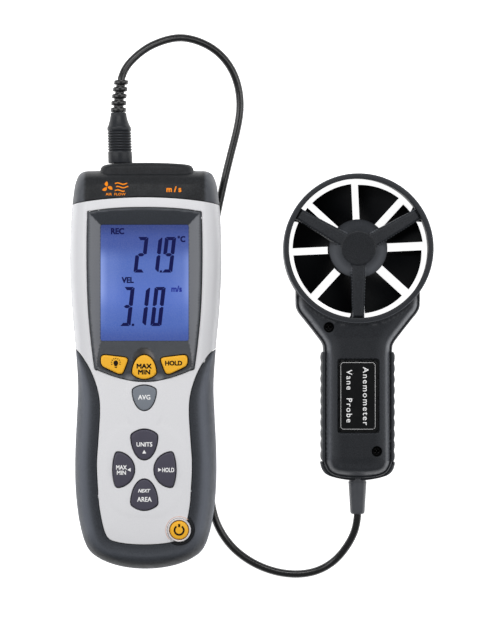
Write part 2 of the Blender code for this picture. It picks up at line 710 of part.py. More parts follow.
def make_side_grips():
    """A ribbed rubber strip in each side of the handle."""
    low, high = SIDE_GRIP
    pitch = (high - low) / GRIP_RIBS
    edge = []
    for rib in range(GRIP_RIBS):
        start = low + rib * pitch
        edge += [(17.7, start), (18.6, start + 0.15 * pitch), (18.6, start + 0.8 * pitch)]
    edge.append((17.7, high))
    for name, side in (("left", -1), ("right", 1)):
        outline = [(PROBE_X + side * x, y) for x, y in edge + [(16.7, high), (16.7, low)]]
        prism(f"{name}_side_grip", outline, 3.0, 20.0, RUBBER)


def make_probe_relief():
    """The sleeve where the cord leaves the probe: a flange held inside the shells, and a taper outside."""
    start, end = -58.3, -74.7
    profile = [(0, -53.3), (6.0, -53.3), (6.0, -55.2), (4.2, -55.2), (4.2, start), (4.6, start), (3.7, end + 1.2),
               (3.1, end), (0, end)]
    turned("probe_strain_relief", profile, "cord jacket", (PROBE_X, PROBE_PARTING), "Y", 14)


def make_pickup():
    box("pickup_board", (PROBE_X - 8, -30, 10), (PROBE_X + 8, 12, 11.6), "circuit board")
    rod_along_y("pickup_coil", 2.2, 6, 17.6, (PROBE_X, 14.6), "brass", 14)


# Vane head


def make_ring():
    chamfer = 0.8
    profile = [(RING_BORE, RING_DEPTH), (RING_RADIUS - chamfer, RING_DEPTH), (RING_RADIUS, RING_DEPTH - chamfer),
               (RING_RADIUS, chamfer), (RING_RADIUS - chamfer, 0), (RING_BORE, 0)]
    turned("vane_ring", profile, DARK, RING_CENTRE, steps=48)


def strut_bars(name, low, high):
    """Three bars from the hub to just inside the ring, a little narrower outwards."""
    shape = bmesh.new()
    for angle in STRUT_ANGLES:
        place = Vector((*RING_CENTRE, 0)) * MM
        turn = Matrix.Translation(place) @ Matrix.Rotation(math.radians(angle), 4, "Z")
        corners = [(7, 3.9), (7, -3.9), (RING_BORE - GAP, -3.0), (RING_BORE - GAP, 3.0)]
        rows = [[shape.verts.new(turn @ (Vector((x, y, z)) * MM)) for x, y in corners] for z in (low, high)]
        shape.faces.new(rows[0])
        shape.faces.new(rows[1])
        for here in range(4):
            there = (here + 1) % 4
            shape.faces.new((rows[0][here], rows[0][there], rows[1][there], rows[1][here]))
    return add_solid(name, shape)


def make_guards():
    """Front and rear strut guards, each with a hub that holds a bearing for the axle."""
    top, bore = RING_DEPTH, 3.3
    front = [(0, top), (HUB_DISC, top), (HUB_RADIUS, 18.6), (bore, 18.6), (bore, 21.2), (0, 21.2)]
    guard = turned("front_guard", front, DARK, RING_CENTRE)
    join(guard, strut_bars("front_struts", 20.6, 24.4))
    rear = [
        (0, 2.0), (bore, 2.0), (bore, 4.6), (HUB_RADIUS - 1, 4.6), (HUB_RADIUS, 3.6), (HUB_RADIUS, 0), (0, 0),
    ]
    guard = turned("rear_guard", rear, DARK, RING_CENTRE)
    join(guard, strut_bars("rear_struts", 0.0, 3.6))
    for name, low in (("front_bearing", 18.9), ("rear_bearing", 2.3)):
        profile = [(1.3, low + 2), (3.0, low + 2), (3.0, low), (1.3, low)]
        turned(name, profile, "brass", RING_CENTRE, steps=16)
    turned("axle", [(0, 20.8), (1.0, 20.8), (1.0, 2.6), (0, 2.6)], "steel", RING_CENTRE, steps=12)
    x, y = RING_CENTRE
    box("thermistor", (x - 1.1, y - 30, 3.9), (x + 1.1, y - 24, 5.6), "cord jacket", bevel=0.5)


def blade_rows(first_angle):
    """Upper and lower edges of one blade, as rows of points from one slit to the next."""
    rows = []
    span = math.tau / BLADES
    for share in np.linspace(0, 1, 5):
        row = []
        for radius in (BLADE_ROOT, BLADE_TIP):
            slit = math.asin(BLADE_SLIT / radius)
            angle = first_angle + slit + share * (span - 2 * slit)
            height = BLADE_MID + BLADE_RISE * (1 - 2 * share)
            for z in (height - BLADE_THICK / 2, height + BLADE_THICK / 2):
                row.append((radius * math.cos(angle), radius * math.sin(angle), z))
        rows.append([row[0], row[2], row[3], row[1]])
    return rows


def make_impeller():
    """Eight helical blades on a hub, with the origin on the axle."""
    shape = bmesh.new()
    for blade in range(BLADES):
        rows = [[shape.verts.new(Vector(p) * MM) for p in row] for row in blade_rows(blade * math.tau / BLADES)]
        for one, two in zip(rows, rows[1:]):
            for here in range(4):
                there = (here + 1) % 4
                shape.faces.new((one[here], one[there], two[there], two[here]))
        shape.faces.new(rows[0])
        shape.faces.new(rows[-1])
    blades = add_solid("impeller_blades", shape)
    blades.location = Vector((*RING_CENTRE, 0)) * MM
    hub = [(1.3, 18.0), (12.6, 18.0), (12.6, 6.6), (1.3, 6.6)]
    return join(turned("impeller", hub, "black plastic", RING_CENTRE), blades)


def main():
    start_scene()
    _, rear = make_case_shells()
    make_grips()
    make_top_cap()
    make_display()
    make_keys()
    make_boards()
    make_battery()
    make_case_screws()
    make_stand(rear)
    make_plug()
    make_cord()
    make_probe_shells()
    make_side_grips()
    make_probe_relief()
    make_pickup()
    make_ring()
    make_guards()
    make_impeller()


main()
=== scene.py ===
"""Visual model of the handheld vane anemometer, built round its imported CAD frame.

The meter lies on its back at the origin with its keys facing +Z, and the probe lies beside it at +X.
Sizes are in millimetres, as in the CAD source, and MM turns them into metres. Most covers are plates:
a region of the XY plane, whose face follows a height function and whose edges are rounded.
"""

import math

import bmesh
import bpy
import numpy as np
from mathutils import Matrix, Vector
from mathutils.geometry import delaunay_2d_cdt


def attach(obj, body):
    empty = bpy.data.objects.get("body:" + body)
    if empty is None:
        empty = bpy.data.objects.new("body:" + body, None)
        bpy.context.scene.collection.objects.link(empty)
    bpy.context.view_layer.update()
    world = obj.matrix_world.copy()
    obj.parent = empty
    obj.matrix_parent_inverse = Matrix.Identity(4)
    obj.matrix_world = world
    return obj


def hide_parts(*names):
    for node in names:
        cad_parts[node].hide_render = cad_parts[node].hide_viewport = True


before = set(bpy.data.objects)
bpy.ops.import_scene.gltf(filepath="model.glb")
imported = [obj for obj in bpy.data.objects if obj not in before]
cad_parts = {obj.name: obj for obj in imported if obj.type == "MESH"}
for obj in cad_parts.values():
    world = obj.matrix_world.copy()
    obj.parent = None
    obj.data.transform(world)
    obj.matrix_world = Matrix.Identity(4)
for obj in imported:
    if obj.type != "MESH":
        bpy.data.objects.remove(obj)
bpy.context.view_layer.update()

MM = 0.001
GAP = 0.3
HALF_GAP = GAP / 2

# Meter case, as in the CAD source
PARTING = 22.0
WALL, FRONT_WALL, GRIP_WALL, PROBE_WALL = 3.2, 3.4, 3.0, 6.5
CASE_CENTRE = np.array((0.0, -1.8))
CASE_HALF = np.array((37.9, 99.5))
CASE_SIDE = [
    (0, -101.3), (13, -99.9), (23.5, -95.9), (29.6, -89.8), (33.3, -77), (35.1, -61), (35.3, -44),
    (34.5, -26), (33.9, -10), (35.0, 8), (36.8, 28), (37.9, 50), (37.4, 72), (36.1, 86), (34.6, 93),
    (31.6, 96.9), (24, 97.6), (0, 97.7),
]

# Profiles of the case: the inset from its outline, and the height there
FRONT_FLANK = [(0, 22.5), (0.35, 26.2), (1.0, 30), (2.2, 33.4), (4.0, 36.0), (7.6, 38.3)]
FRONT_CROWN = [(7.6, 38.3), (12.5, 39.4), (18, 40.2), (30, 41.0), (38, 41.1)]
REAR_PROFILE = [(0, 21.5), (1.6, 13), (4.2, 9.4), (7.4, 6.5), (11.8, 2.2), (14.0, 0.6), (16, 0), (40, 0)]
CAP_EDGE, CAP_DROP, CAP_REACH = 83.6, 3.0, 35.5
CASE_POSTS = [(-26.5, 77), (26.5, 77), (-22, -66), (22, -66)]
PANEL_SIDE = [
    (47, 13), (35, 8.5), (29.5, 2.5), (25.5, -5), (22.8, -14), (22.2, -23), (23.1, -38), (23.7, -48),
    (23.2, -60), (22.2, -71), (19, -83.4), (13, -86.9), (0, -88),
]
REAR_GRIP_FOOT = 6.0
BEZEL_SIDE = [
    (0, -7.2), (6, -6.8), (12, -5.4), (18, -3.4), (23.3, -1.2), (24.6, 0.6), (27.3, 25), (28.2, 50),
    (27.9, 74.2), (26.6, 76.4), (14, 77.9), (0, 78.3),
]
WINDOW_HALF, WINDOW_LOW, WINDOW_HIGH = 21.6, 12.9, 69.9
GLASS = 37.4
BOWED_KEYS = {  # root point, heading in degrees, half width, length, bow depth, top height
    "maxmin_button": ((0, -6.1), 90, 6.0, 11.9, 2.5, 43.3),
    "average_button": ((0, -9.2), -90, 5.85, 12.4, 1.9, 42.2),
    "units_button": ((0, -30.9), -90, 6.55, 15.0, 2.6, 42.2),
    "area_button": ((0, -70.7), 90, 6.6, 15.3, 2.7, 42.2),
    "left_button": ((-15.4, -50.75), 0, 8.75, 10.5, 1.5, 42.2),
    "right_button": ((15.4, -50.75), 180, 8.75, 10.5, 1.5, 42.2),
}
LIGHT_KEY = [(-20.9, 5.7), (-8.1, 4.2), (-11.2, -3.9), (-20.9, 0.6)]
BEZEL_KEY_TOP = 43.3
KEY_FOOT = 33.0
KEY_SLOT = 0.42
POWER_CENTRE = np.array((17.15, -80.5))
POWER_RADIUS, POWER_RING, POWER_RECESS, POWER_FLOOR = 4.6, 5.75, 7.7, 38.6
DOOR_BAY = ((-17, -79), (17, -13))
DOOR_SCREW = (0, -17.5)
STAND_BAY = ((-17, 5), (17, 62))
STAND_HINGE_Y = 59.0
BOSS_LOW, BOSS_HIGH = (-22.4, 88.0, 8.0), (24.0, 101.2, 34.0)
PLUG_X, PLUG_Z = -12.8, 20.0

# Probe, as in the CAD source
PROBE_X = 106.3
RING_CENTRE = np.array((PROBE_X, 58.8))
RING_RADIUS = 37.5
HUB_RADIUS = 14.7
STRUT_ANGLES = (-90, 30, 150)
STRUT_ROOT = 5.6
BLADES, BLADE_TIP, BLADE_ROOT, BLADE_SLIT, BLADE_TURN = 8, 32.6, 11.5, 1.95, 2.6
BLADE_MID, BLADE_RISE, BLADE_THICK = 12.4, 5.2, 1.1
PROBE_EDGE = [
    (0, -57.7), (6, -57.3), (12, -56.1), (15.8, -54.6), (17.8, -52.4), (18.6, -49.8), (18.7, -48.6),
    (17.3, -48.1), (17.2, -47.0), (17.2, -20), (17.2, 2.0), (17.25, 7.8), (17.9, 11.2), (21.6, 16.4),
    (26.4, 22.5), (29.6, 26.5), (30.9, 29.2), (31.2, 32.0), (31.2, 40),
]
FACE_FOOT = [(0, -56.7), (6, -56.4), (11.2, -55.5), (14.8, -53.4), (16.8, -49.8), (17.3, -45.0)]
FACE_JOINS_EDGE = 9  # from this point of PROBE_EDGE on, the raised face runs along the edge
PROBE_PARTING = 12.0
PROBE_SCREWS = [(-14.8, 19.3), (9.2, -42.7)]
LABEL_LOW, LABEL_HIGH = np.array((-10.0, -33.0)), np.array((9.9, 3.0))
LABEL_FLOOR, LABEL_FACE = 22.75, 23.35

# Cord: its centre line in metres, the same points as in the CAD source
CORD_RADIUS = 1.95
CORD_ROUTE = [
    (-0.0128, 0.1434, 0.02), (-0.0125, 0.1462, 0.02), (-0.01, 0.1505, 0.0195), (-0.0045, 0.156, 0.0182),
    (0.0035, 0.1615, 0.016), (0.0173, 0.1656, 0.012), (0.0313, 0.1618, 0.008), (0.0405, 0.154, 0.0052),
    (0.0456, 0.144, 0.0034), (0.0473, 0.132, 0.0025), (0.0456, 0.12, 0.0022), (0.0418, 0.105, 0.0021),
    (0.0374, 0.086, 0.0021), (0.034, 0.068, 0.0021), (0.032, 0.04, 0.0021), (0.0312, 0.005, 0.0021),
    (0.0308, -0.03, 0.0021), (0.0314, -0.058, 0.0021), (0.034, -0.077, 0.0021), (0.041, -0.09, 0.0021),
    (0.051, -0.0988, 0.0021), (0.063, -0.1043, 0.0021), (0.075, -0.1062, 0.0022), (0.086, -0.1046, 0.0027),
    (0.095, -0.0993, 0.0042), (0.101, -0.0918, 0.0072), (0.1048, -0.0845, 0.0102), (0.1062, -0.0785, 0.0119),
    (0.1063, -0.0751, 0.012),
]


# Curves and regions


def smooth(points, steps, closed=False):
    """A Catmull-Rom curve through the points, with this many steps to each span."""
    points = np.array(points, float)
    if closed:
        before, after, beyond = (np.roll(points, shift, axis=0) for shift in (1, -1, -2))
    else:
        first, last = 2 * points[0] - points[1], 2 * points[-1] - points[-2]
        padded = np.vstack([first, points, last])
        before, points, after, beyond = padded[:-3], padded[1:-2], padded[2:-1], padded[3:]
    curve = []
    for p0, p1, p2, p3 in zip(before, points, after, beyond):
        for t in np.arange(steps) / steps:
            cubic = (3 * p1 - p0 - 3 * p2 + p3) * t**3
            curve.append(0.5 * (2 * p1 + (p2 - p0) * t + (2 * p0 - 5 * p1 + 4 * p2 - p3) * t**2 + cubic))
    if not closed:
        curve.append(after[-1])
    return np.array(curve)


def mirrored(side):
    """A closed line's points, from the ones on its right side."""
    return side + [(-x, y) for x, y in reversed(side[1:-1])]


def circle(centre, radius, steps=48):
    """Points round a circle, counter-clockwise."""
    angles = np.arange(steps) * math.tau / steps
    return np.array(centre) + radius * np.column_stack([np.cos(angles), np.sin(angles)])


def rounded_rectangle(low, high, radius, steps=6):
    """A rectangle's loop from its two opposite corners, with its own corners rounded."""
    corners = [(high[0], low[1], -90), (high[0], high[1], 0), (low[0], high[1], 90), (low[0], low[1], 180)]
    middle = np.add(low, high) / 2
    outline = []
    for x, y, start in corners:
        inner = np.array((x, y)) - np.sign((x, y) - middle) * radius
        for angle in np.radians(start + np.arange(steps + 1) * 90 / steps):
            outline.append(inner + radius * np.array((math.cos(angle), math.sin(angle))))
    return even(outline, 2.0)


def even(loop, spacing):
    """A closed loop with its long sides divided, and its own points kept."""
    loop = np.array(loop, float)
    points = []
    for here, there in zip(loop, np.roll(loop, -1, axis=0)):
        parts = max(1, int(np.linalg.norm(there - here) / spacing))
        points += [here + (there - here) * part / parts for part in range(parts)]
    return np.array(points)


def softened(loop, reach):
    """A closed loop with its corners rounded, by a weighted mean along it."""
    loop = np.array(loop, float)
    lengths = np.linalg.norm(np.roll(loop, -1, axis=0) - loop, axis=1)
    along = np.concatenate([[0], np.cumsum(lengths)])
    count = int(along[-1] / 0.25)
    places = np.arange(count) * along[-1] / count
    whole = np.vstack([loop, loop[:1]])
    fine = np.column_stack([np.interp(places, along, whole[:, axis]) for axis in (0, 1)])
    offsets = np.arange(-3 * reach, 3 * reach + 0.01, 0.25)
    weights = np.exp(-0.5 * (offsets / reach) ** 2)
    mean = sum(w * np.roll(fine, int(round(o / 0.25)), axis=0) for w, o in zip(weights, offsets))
    return (mean / weights.sum())[::3]


def grown(loop, distance):
    """A counter-clockwise closed loop moved outward."""
    ahead = np.roll(loop, -1, axis=0) - np.roll(loop, 1, axis=0)
    ahead /= np.linalg.norm(ahead, axis=1, keepdims=True)
    return loop + distance * np.column_stack([ahead[:, 1], -ahead[:, 0]])


def counter_clockwise(loop):
    x, y = np.array(loop).T
    area = np.sum(x * np.roll(y, -1) - y * np.roll(x, -1))
    return np.array(loop) if area > 0 else np.array(loop)[::-1]


def shifted(line, distance):
    """An open line moved sideways, to its right as it runs."""
    ahead = np.gradient(np.array(line, float), axis=0)
    ahead /= np.linalg.norm(ahead, axis=1, keepdims=True)
    return line + distance * np.column_stack([ahead[:, 1], -ahead[:, 0]])


def within(points, loop):
    """True for the points inside a closed loop."""
    x, y = points[:, 0:1], points[:, 1:2]
    (ax, ay), (bx, by) = loop.T, np.roll(loop, -1, axis=0).T
    rise = np.where(by == ay, 1.0, by - ay)
    crossing = ax + (y - ay) * (bx - ax) / rise
    return (((ay > y) != (by > y)) & (x < crossing)).sum(axis=1) % 2 == 1


def region(loops, holes=()):
    """A test for the points inside every one of the loops and outside every hole."""
    def inside(points):
        kept = np.ones(len(points), bool)
        for loop in loops:
            kept &= within(points, loop)
        for hole in holes:
            kept &= ~within(points, hole)
        return kept

    return inside


def nearest(points, starts, ends):
    """Distance from each point to the nearest line piece, and the unit direction to that piece's left."""
    distance, left = np.empty(len(points)), np.empty((len(points), 2))
    run = ends - starts
    square = (run**2).sum(axis=1)
    side = np.column_stack([-run[:, 1], run[:, 0]]) / np.sqrt(square)[:, None]
    for first in range(0, len(points), 1500):
        away = points[first:first + 1500, None, :] - starts
        share = np.clip((away * run).sum(axis=2) / square, 0, 1)
        reach = np.linalg.norm(away - share[..., None] * run, axis=2)
        best = reach.argmin(axis=1)
        distance[first:first + 1500] = reach[np.arange(len(best)), best]
        left[first:first + 1500] = side[best]
    return distance, left


def distance_to(points, loop):
    """Distance from each point to a closed loop."""
    return nearest(points, loop, np.roll(loop, -1, axis=0))[0]


def triangulated(points, edges):
    """Corners and counter-clockwise triangles that keep these edges."""
    result = delaunay_2d_cdt([Vector(point) for point in points], edges, [], 0, 1e-5)
    corners = np.array([tuple(corner) for corner in result[0]])
    faces = np.array([tuple(face) for face in result[2]])
    a, b, c = (corners[faces[:, i]] for i in range(3))
    area = (b[:, 0] - a[:, 0]) * (c[:, 1] - a[:, 1]) - (b[:, 1] - a[:, 1]) * (c[:, 0] - a[:, 0])
    faces[area < 0] = faces[area < 0][:, ::-1]
    return corners, faces[np.abs(area) > 1e-9]


def open_edges(faces):
    """The edges that only one triangle has, in its own direction."""
    sides = {side for a, b, c in faces.tolist() for side in ((a, b), (b, c), (c, a))}
    return np.array(sorted(side for side in sides if (side[1], side[0]) not in sides))


# Pieces

EDGE_SHARES = (0.08, 0.27, 0.55, 1.0)  # where a rounded edge has its rows of points


def add_piece(name, points, faces, look, body="case", stands_for=(), slot=None, angle=32):
    """A mesh piece in metres from points in millimetres, riding on a body."""
    mesh = bpy.data.meshes.new(name)
    mesh.from_pydata([tuple(point) for point in np.array(points) * MM], [], [tuple(face) for face in faces])
    mesh.update()
    thing = bpy.data.objects.new(name, mesh)
    bpy.context.scene.collection.objects.link(thing)
    mesh.materials.append(look)
    mesh.shade_smooth()
    mesh.set_sharp_from_angle(angle=math.radians(angle))
    return settle(thing, body, stands_for, slot)


def settle(thing, body, stands_for=(), slot=None):
    """Let a piece ride on a body and stand for CAD nodes, whose parts it hides; the slot is not used."""
    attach(thing, body)
    if stands_for:
        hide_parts(*stands_for)
    return thing


def plate(name, loops, holes, top, low, look, inside=None, edge=0.35, spacing=1.7, extra=(), up=1,
          painted_shading=None, **how):
    """A closed piece over the region of the XY plane inside the loops and outside the holes.

    inside() can name another region that has the same edges. The face has the height top(), with rounded
    edges, and the back the height low(). With up = -1 the face looks down. The shading function gives each
    point a painted shade or highlight, and extra holds more points for the face.
    """
    inside = inside or region(loops, holes)
    points, edges = [], []
    for loop in [*loops, *holes]:
        start, count = len(points), len(loop)
        points += list(loop)
        edges += [(start + i, start + (i + 1) % count) for i in range(count)]
    flat, back_faces = triangulated(points, edges)
    back_faces = back_faces[inside(flat[back_faces].mean(axis=1))]
    rim = open_edges(back_faces)
    used = np.unique(rim)
    starts, ends = flat[rim[:, 0]], flat[rim[:, 1]]
    run = ends - starts
    side = np.column_stack([-run[:, 1], run[:, 0]]) / np.linalg.norm(run, axis=1, keepdims=True)
    rings = [starts + side * edge * share for share in EDGE_SHARES]
    rings.append((starts + ends) / 2 + side * (edge + 0.45 * spacing))
    low_corner, high_corner = flat[used].min(axis=0), flat[used].max(axis=0)
    xs = np.arange(low_corner[0] + 0.31 * spacing, high_corner[0], spacing)
    ys = np.arange(low_corner[1] + 0.37 * spacing, high_corner[1], 0.87 * spacing)
    grid = np.array([(x + 0.5 * spacing * (row % 2), y) for row, y in enumerate(ys) for x in xs])
    middle = np.vstack([grid] + [np.array(points) for points in extra])
    middle = middle[inside(middle)]
    middle = middle[nearest(middle, starts, ends)[0] > edge + 0.4 * min(spacing, 1.2)]
    inner = [middle]
    for ring, share in zip(rings, (*EDGE_SHARES, 1 + 0.45 * spacing / edge)):
        reach = nearest(ring, starts, ends)[0]
        inner.append(ring[inside(ring) & (reach > 0.97 * share * edge)])
    index = {corner: i for i, corner in enumerate(used)}
    fixed = [(index[a], index[b]) for a, b in rim.tolist()]
    corners, faces = triangulated(np.vstack([flat[used]] + inner), fixed)
    faces = faces[inside(corners[faces].mean(axis=1))]
    reach, left = nearest(corners, starts, ends)
    deep = np.clip(edge - reach, 0, edge)
    drop = edge - np.sqrt(edge**2 - np.minimum(deep, 0.995 * edge) ** 2)
    step = 0.12
    slope = np.column_stack([
        top(corners + shift) - top(corners - shift) for shift in ((step, 0), (0, step))
    ]) / (2 * step)
    fall = np.minimum(deep, 0.97 * edge)
    slope += up * (fall / np.sqrt(edge**2 - fall**2))[:, None] * left
    normal = np.column_stack([-slope, np.ones(len(corners))]) * up
    normal /= np.linalg.norm(normal, axis=1, keepdims=True)
    face = np.column_stack([corners, top(corners) - up * drop])
    back_index = {tuple(np.round(corner, 4)): i for i, corner in enumerate(corners)}
    rim_face = np.array([[back_index[tuple(np.round(flat[i], 4))] for i in pair] for pair in rim])
    back_used = np.unique(back_faces)
    back_place = {corner: len(corners) + i for i, corner in enumerate(back_used)}
    back = np.column_stack([flat[back_used], low(flat[back_used])])
    polygons = [tuple(face) for face in faces[:, ::up]]
    polygons += [tuple(back_place[i] for i in face) for face in back_faces[:, ::-up].tolist()]
    for (a, b), (c, d) in zip(rim_face.tolist(), rim.tolist()):
        quad = (b, a, back_place[c], back_place[d])
        polygons.append(quad[::up])
    thing = add_piece(name, np.vstack([face, back]), polygons, look, angle=60, **how)
    mesh = thing.data
    mesh.polygons.foreach_set("use_smooth", np.arange(len(polygons)) < len(faces))
    loops_of = np.empty(len(mesh.loops), int)
    mesh.loops.foreach_get("vertex_index", loops_of)
    custom = np.zeros((len(mesh.loops), 3))
    custom[:3 * len(faces)] = normal[loops_of[:3 * len(faces)]]
    mesh.normals_split_custom_set([tuple(n) for n in custom])
    if painted_shading is not None:
        store_painted_shading(mesh, np.concatenate([painted_shading(corners), painted_shading(flat[back_used])]))
    return thing


def level(height):
    """A height function that is the same everywhere."""
    return lambda points: np.full(len(points), float(height))


def wall_back(face, thick, limit):
    """The height of a wall's back: this far below its face, or above it if negative, up to a limit."""
    keep = np.maximum if thick > 0 else np.minimum
    return lambda points: keep(face(points) - thick, limit)


def skin(rows, steps, closed, rings=True):
    """Four-sided faces between rows of points, and from the last row to the first if closed.

    Each row is a ring, or an open line where rings is False.
    """
    faces = []
    for row in range(rows if closed else rows - 1):
        this, after = row * steps, (row + 1) % rows * steps
        for here in range(steps if rings else steps - 1):
            there = (here + 1) % steps
            faces.append((this + here, this + there, after + there, after + here))
    return faces


def lathe(name, profile, look, centre, along="Z", steps=96, **how):
    """A closed turned piece from (radius, place) pairs.

    Along Z the centre is (x, y), and along Y it is (x, z).
    """
    profile = np.array(profile, float)
    ends = profile[0, 0] == 0 and profile[-1, 0] == 0
    rows = profile[1:-1] if ends else profile
    angles = np.arange(steps) * math.tau / steps
    points = []
    for radius, place in rows:
        a, b = centre[0] + radius * np.cos(angles), centre[1] + radius * np.sin(angles)
        column = np.full(steps, place)
        points.append(np.column_stack([a, b, column] if along == "Z" else [a, column, b]))
    points = np.vstack(points)
    count = len(rows)
    faces = skin(count, steps, not ends)
    if ends:
        tips = [(*centre, profile[0, 1]), (*centre, profile[-1, 1])]
        tips = tips if along == "Z" else [(x, place, z) for x, z, place in tips]
        points = np.vstack([points, tips])
        for here in range(steps):
            there = (here + 1) % steps
            faces.append((there, here, count * steps))
            faces.append(((count - 1) * steps + here, (count - 1) * steps + there, count * steps + 1))
    thing = add_piece(name, points, faces, look, **how)
    face_outward(thing)
    return thing


def store_painted_shading(mesh, shades):
    """Keep a painted shade or highlight value for each point, which the materials read."""
    layer = mesh.attributes.new("painted_shading", "FLOAT", "POINT")
    layer.data.foreach_set("value", shades.astype(np.float32))


def add_painted_shading(thing, painted_shading):
    """A painted shade or highlight for each of a piece's points, from their places in millimetres."""
    places = np.array([tuple(vertex.co) for vertex in thing.data.vertices]) / MM
    store_painted_shading(thing.data, painted_shading(places))


def face_outward(thing):
    shape = bmesh.new()
    shape.from_mesh(thing.data)
    bmesh.ops.recalc_face_normals(shape, faces=shape.faces)
    shape.to_mesh(thing.data)
    shape.free()


# Materials

SPECK_TONE = "9098a4"


def linear(code):
    """A Blender colour from an sRGB code such as 2a2d30."""
    parts = [int(code[i:i + 2], 16) / 255 for i in (0, 2, 4)]
    return (*(p / 12.92 if p <= 0.04045 else ((p + 0.055) / 1.055) ** 2.4 for p in parts), 1)


class Nodes:
    """A material's node tree, with short ways to add and link nodes."""

    def __init__(self, name):
        self.material = bpy.data.materials.new(name)
        self.material.use_nodes = True
        self.tree = self.material.node_tree
        self.shader = self.tree.nodes["Principled BSDF"]
        self.place = self.add("ShaderNodeTexCoord").outputs["Object"]

    def add(self, kind, **values):
        node = self.tree.nodes.new(kind)
        for key, value in values.items():
            setattr(node, key, value)
        return node

    def link(self, output, target):
        self.tree.links.new(output, target)

    def noise(self, size, detail=2.0, roughness=0.5, place=None):
        """Noise whose features are about this many millimetres across."""
        node = self.add("ShaderNodeTexNoise")
        self.link(place or self.place, node.inputs["Vector"])
        node.inputs["Scale"].default_value = 1 / (size * MM)
        node.inputs["Detail"].default_value = detail
        node.inputs["Roughness"].default_value = roughness
        return node.outputs["Fac"]

    def spread(self, value, low, high, start=0.3, end=0.7):
        node = self.add("ShaderNodeMapRange")
        self.link(value, node.inputs["Value"])
        for key, number in (("From Min", start), ("From Max", end), ("To Min", low), ("To Max", high)):
            node.inputs[key].default_value = number
        return node.outputs["Result"]

    def blend(self, factor, one, two, how="MIX"):
        """A mix of two colours, each a fixed colour or an output."""
        node = self.add("ShaderNodeMix", data_type="RGBA", blend_type=how)
        for value, socket in ((factor, node.inputs[0]), (one, node.inputs[6]), (two, node.inputs[7])):
            if isinstance(value, bpy.types.NodeSocket):
                self.link(value, socket)
            else:
                socket.default_value = value
        return node.outputs[2]

    def bump(self, height, strength, depth):
        node = self.add("ShaderNodeBump")
        node.inputs["Strength"].default_value = strength
        node.inputs["Distance"].default_value = depth * MM
        self.link(height, node.inputs["Height"])
        self.link(node.outputs["Normal"], self.shader.inputs["Normal"])


def scaled(colour, factor):
    """A colour made lighter or darker."""
    return (*(min(1.0, part * factor) for part in colour[:3]), 1)


def moulded(name, code, roughness, grain=0.45, relief=0.03, mottle=0.06, worn=0.25, tones=None, **settings):
    """Moulded plastic or rubber: fine surface grain, varied gloss and lighter sharp edges, for wear and
    painted highlight.

    Its colour is faintly mottled, or runs between two tones by a painted shade or highlight kept at each
    point.
    """
    nodes = Nodes(name)
    colour = linear(code)
    fine = nodes.noise(grain, 3, 0.6)
    speck = nodes.spread(fine, 0, 1, 0.38, 0.62)
    # Two tones mixed by each point's painted shade or highlight value
    if tones:
        attribute = nodes.add("ShaderNodeAttribute", attribute_name="painted_shading")
        base = nodes.blend(attribute.outputs["Fac"], linear(tones[0]), linear(tones[1]))
        base = nodes.blend(speck, base, nodes.blend(0.05, base, linear(SPECK_TONE)))
    else:
        broad = nodes.spread(nodes.noise(14, 3), 0, 1)
        base = nodes.blend(broad, scaled(colour, 1 - mottle), scaled(colour, 1 + mottle))
        base = nodes.blend(speck, base, nodes.blend(0.5, base, scaled(colour, 1 + 2 * mottle)))
    # Sharp edges lighter by pointiness: partly wear, partly painted highlight
    if worn:
        point = nodes.add("ShaderNodeNewGeometry").outputs["Pointiness"]
        rubbed_and_lit_edges = nodes.spread(point, 0, worn, 0.515, 0.60)
        base = nodes.blend(rubbed_and_lit_edges, base, scaled(colour, 2.2))
    nodes.link(base, nodes.shader.inputs["Base Color"])
    gloss = nodes.noise(3.5, 4, 0.65)
    nodes.link(nodes.spread(gloss, roughness - 0.06, roughness + 0.06), nodes.shader.inputs["Roughness"])
    nodes.bump(fine, 0.5, relief)
    for socket, value in ({"Specular_IOR_Level": 0.25} | settings).items():
        nodes.shader.inputs[socket.replace("_", " ")].default_value = value
    return nodes.material


def metal(name, code, roughness):
    """Turned or pressed metal with fine scratches."""
    nodes = Nodes(name)
    colour = linear(code)
    scratch = nodes.noise(0.25, 5, 0.7)
    nodes.link(nodes.blend(nodes.spread(nodes.noise(2, 3), 0, 1), scaled(colour, 0.8), colour),
               nodes.shader.inputs["Base Color"])
    nodes.link(nodes.spread(scratch, roughness - 0.1, roughness + 0.12), nodes.shader.inputs["Roughness"])
    nodes.shader.inputs["Metallic"].default_value = 1.0
    nodes.bump(scratch, 0.25, 0.01)
    return nodes.material


def ink(name, code, roughness=0.45, worn="6a6a70"):
    """Printed legends, slightly uneven in density."""
    nodes = Nodes(name)
    density = nodes.spread(nodes.noise(0.35, 3, 0.7), 0, 0.15, 0.45, 0.75)
    nodes.link(nodes.blend(density, linear(code), linear(worn)), nodes.shader.inputs["Base Color"])
    nodes.link(nodes.spread(nodes.noise(1.2, 3), roughness - 0.08, roughness + 0.08),
               nodes.shader.inputs["Roughness"])
    nodes.shader.inputs["Specular IOR Level"].default_value = 0.15
    return nodes.material


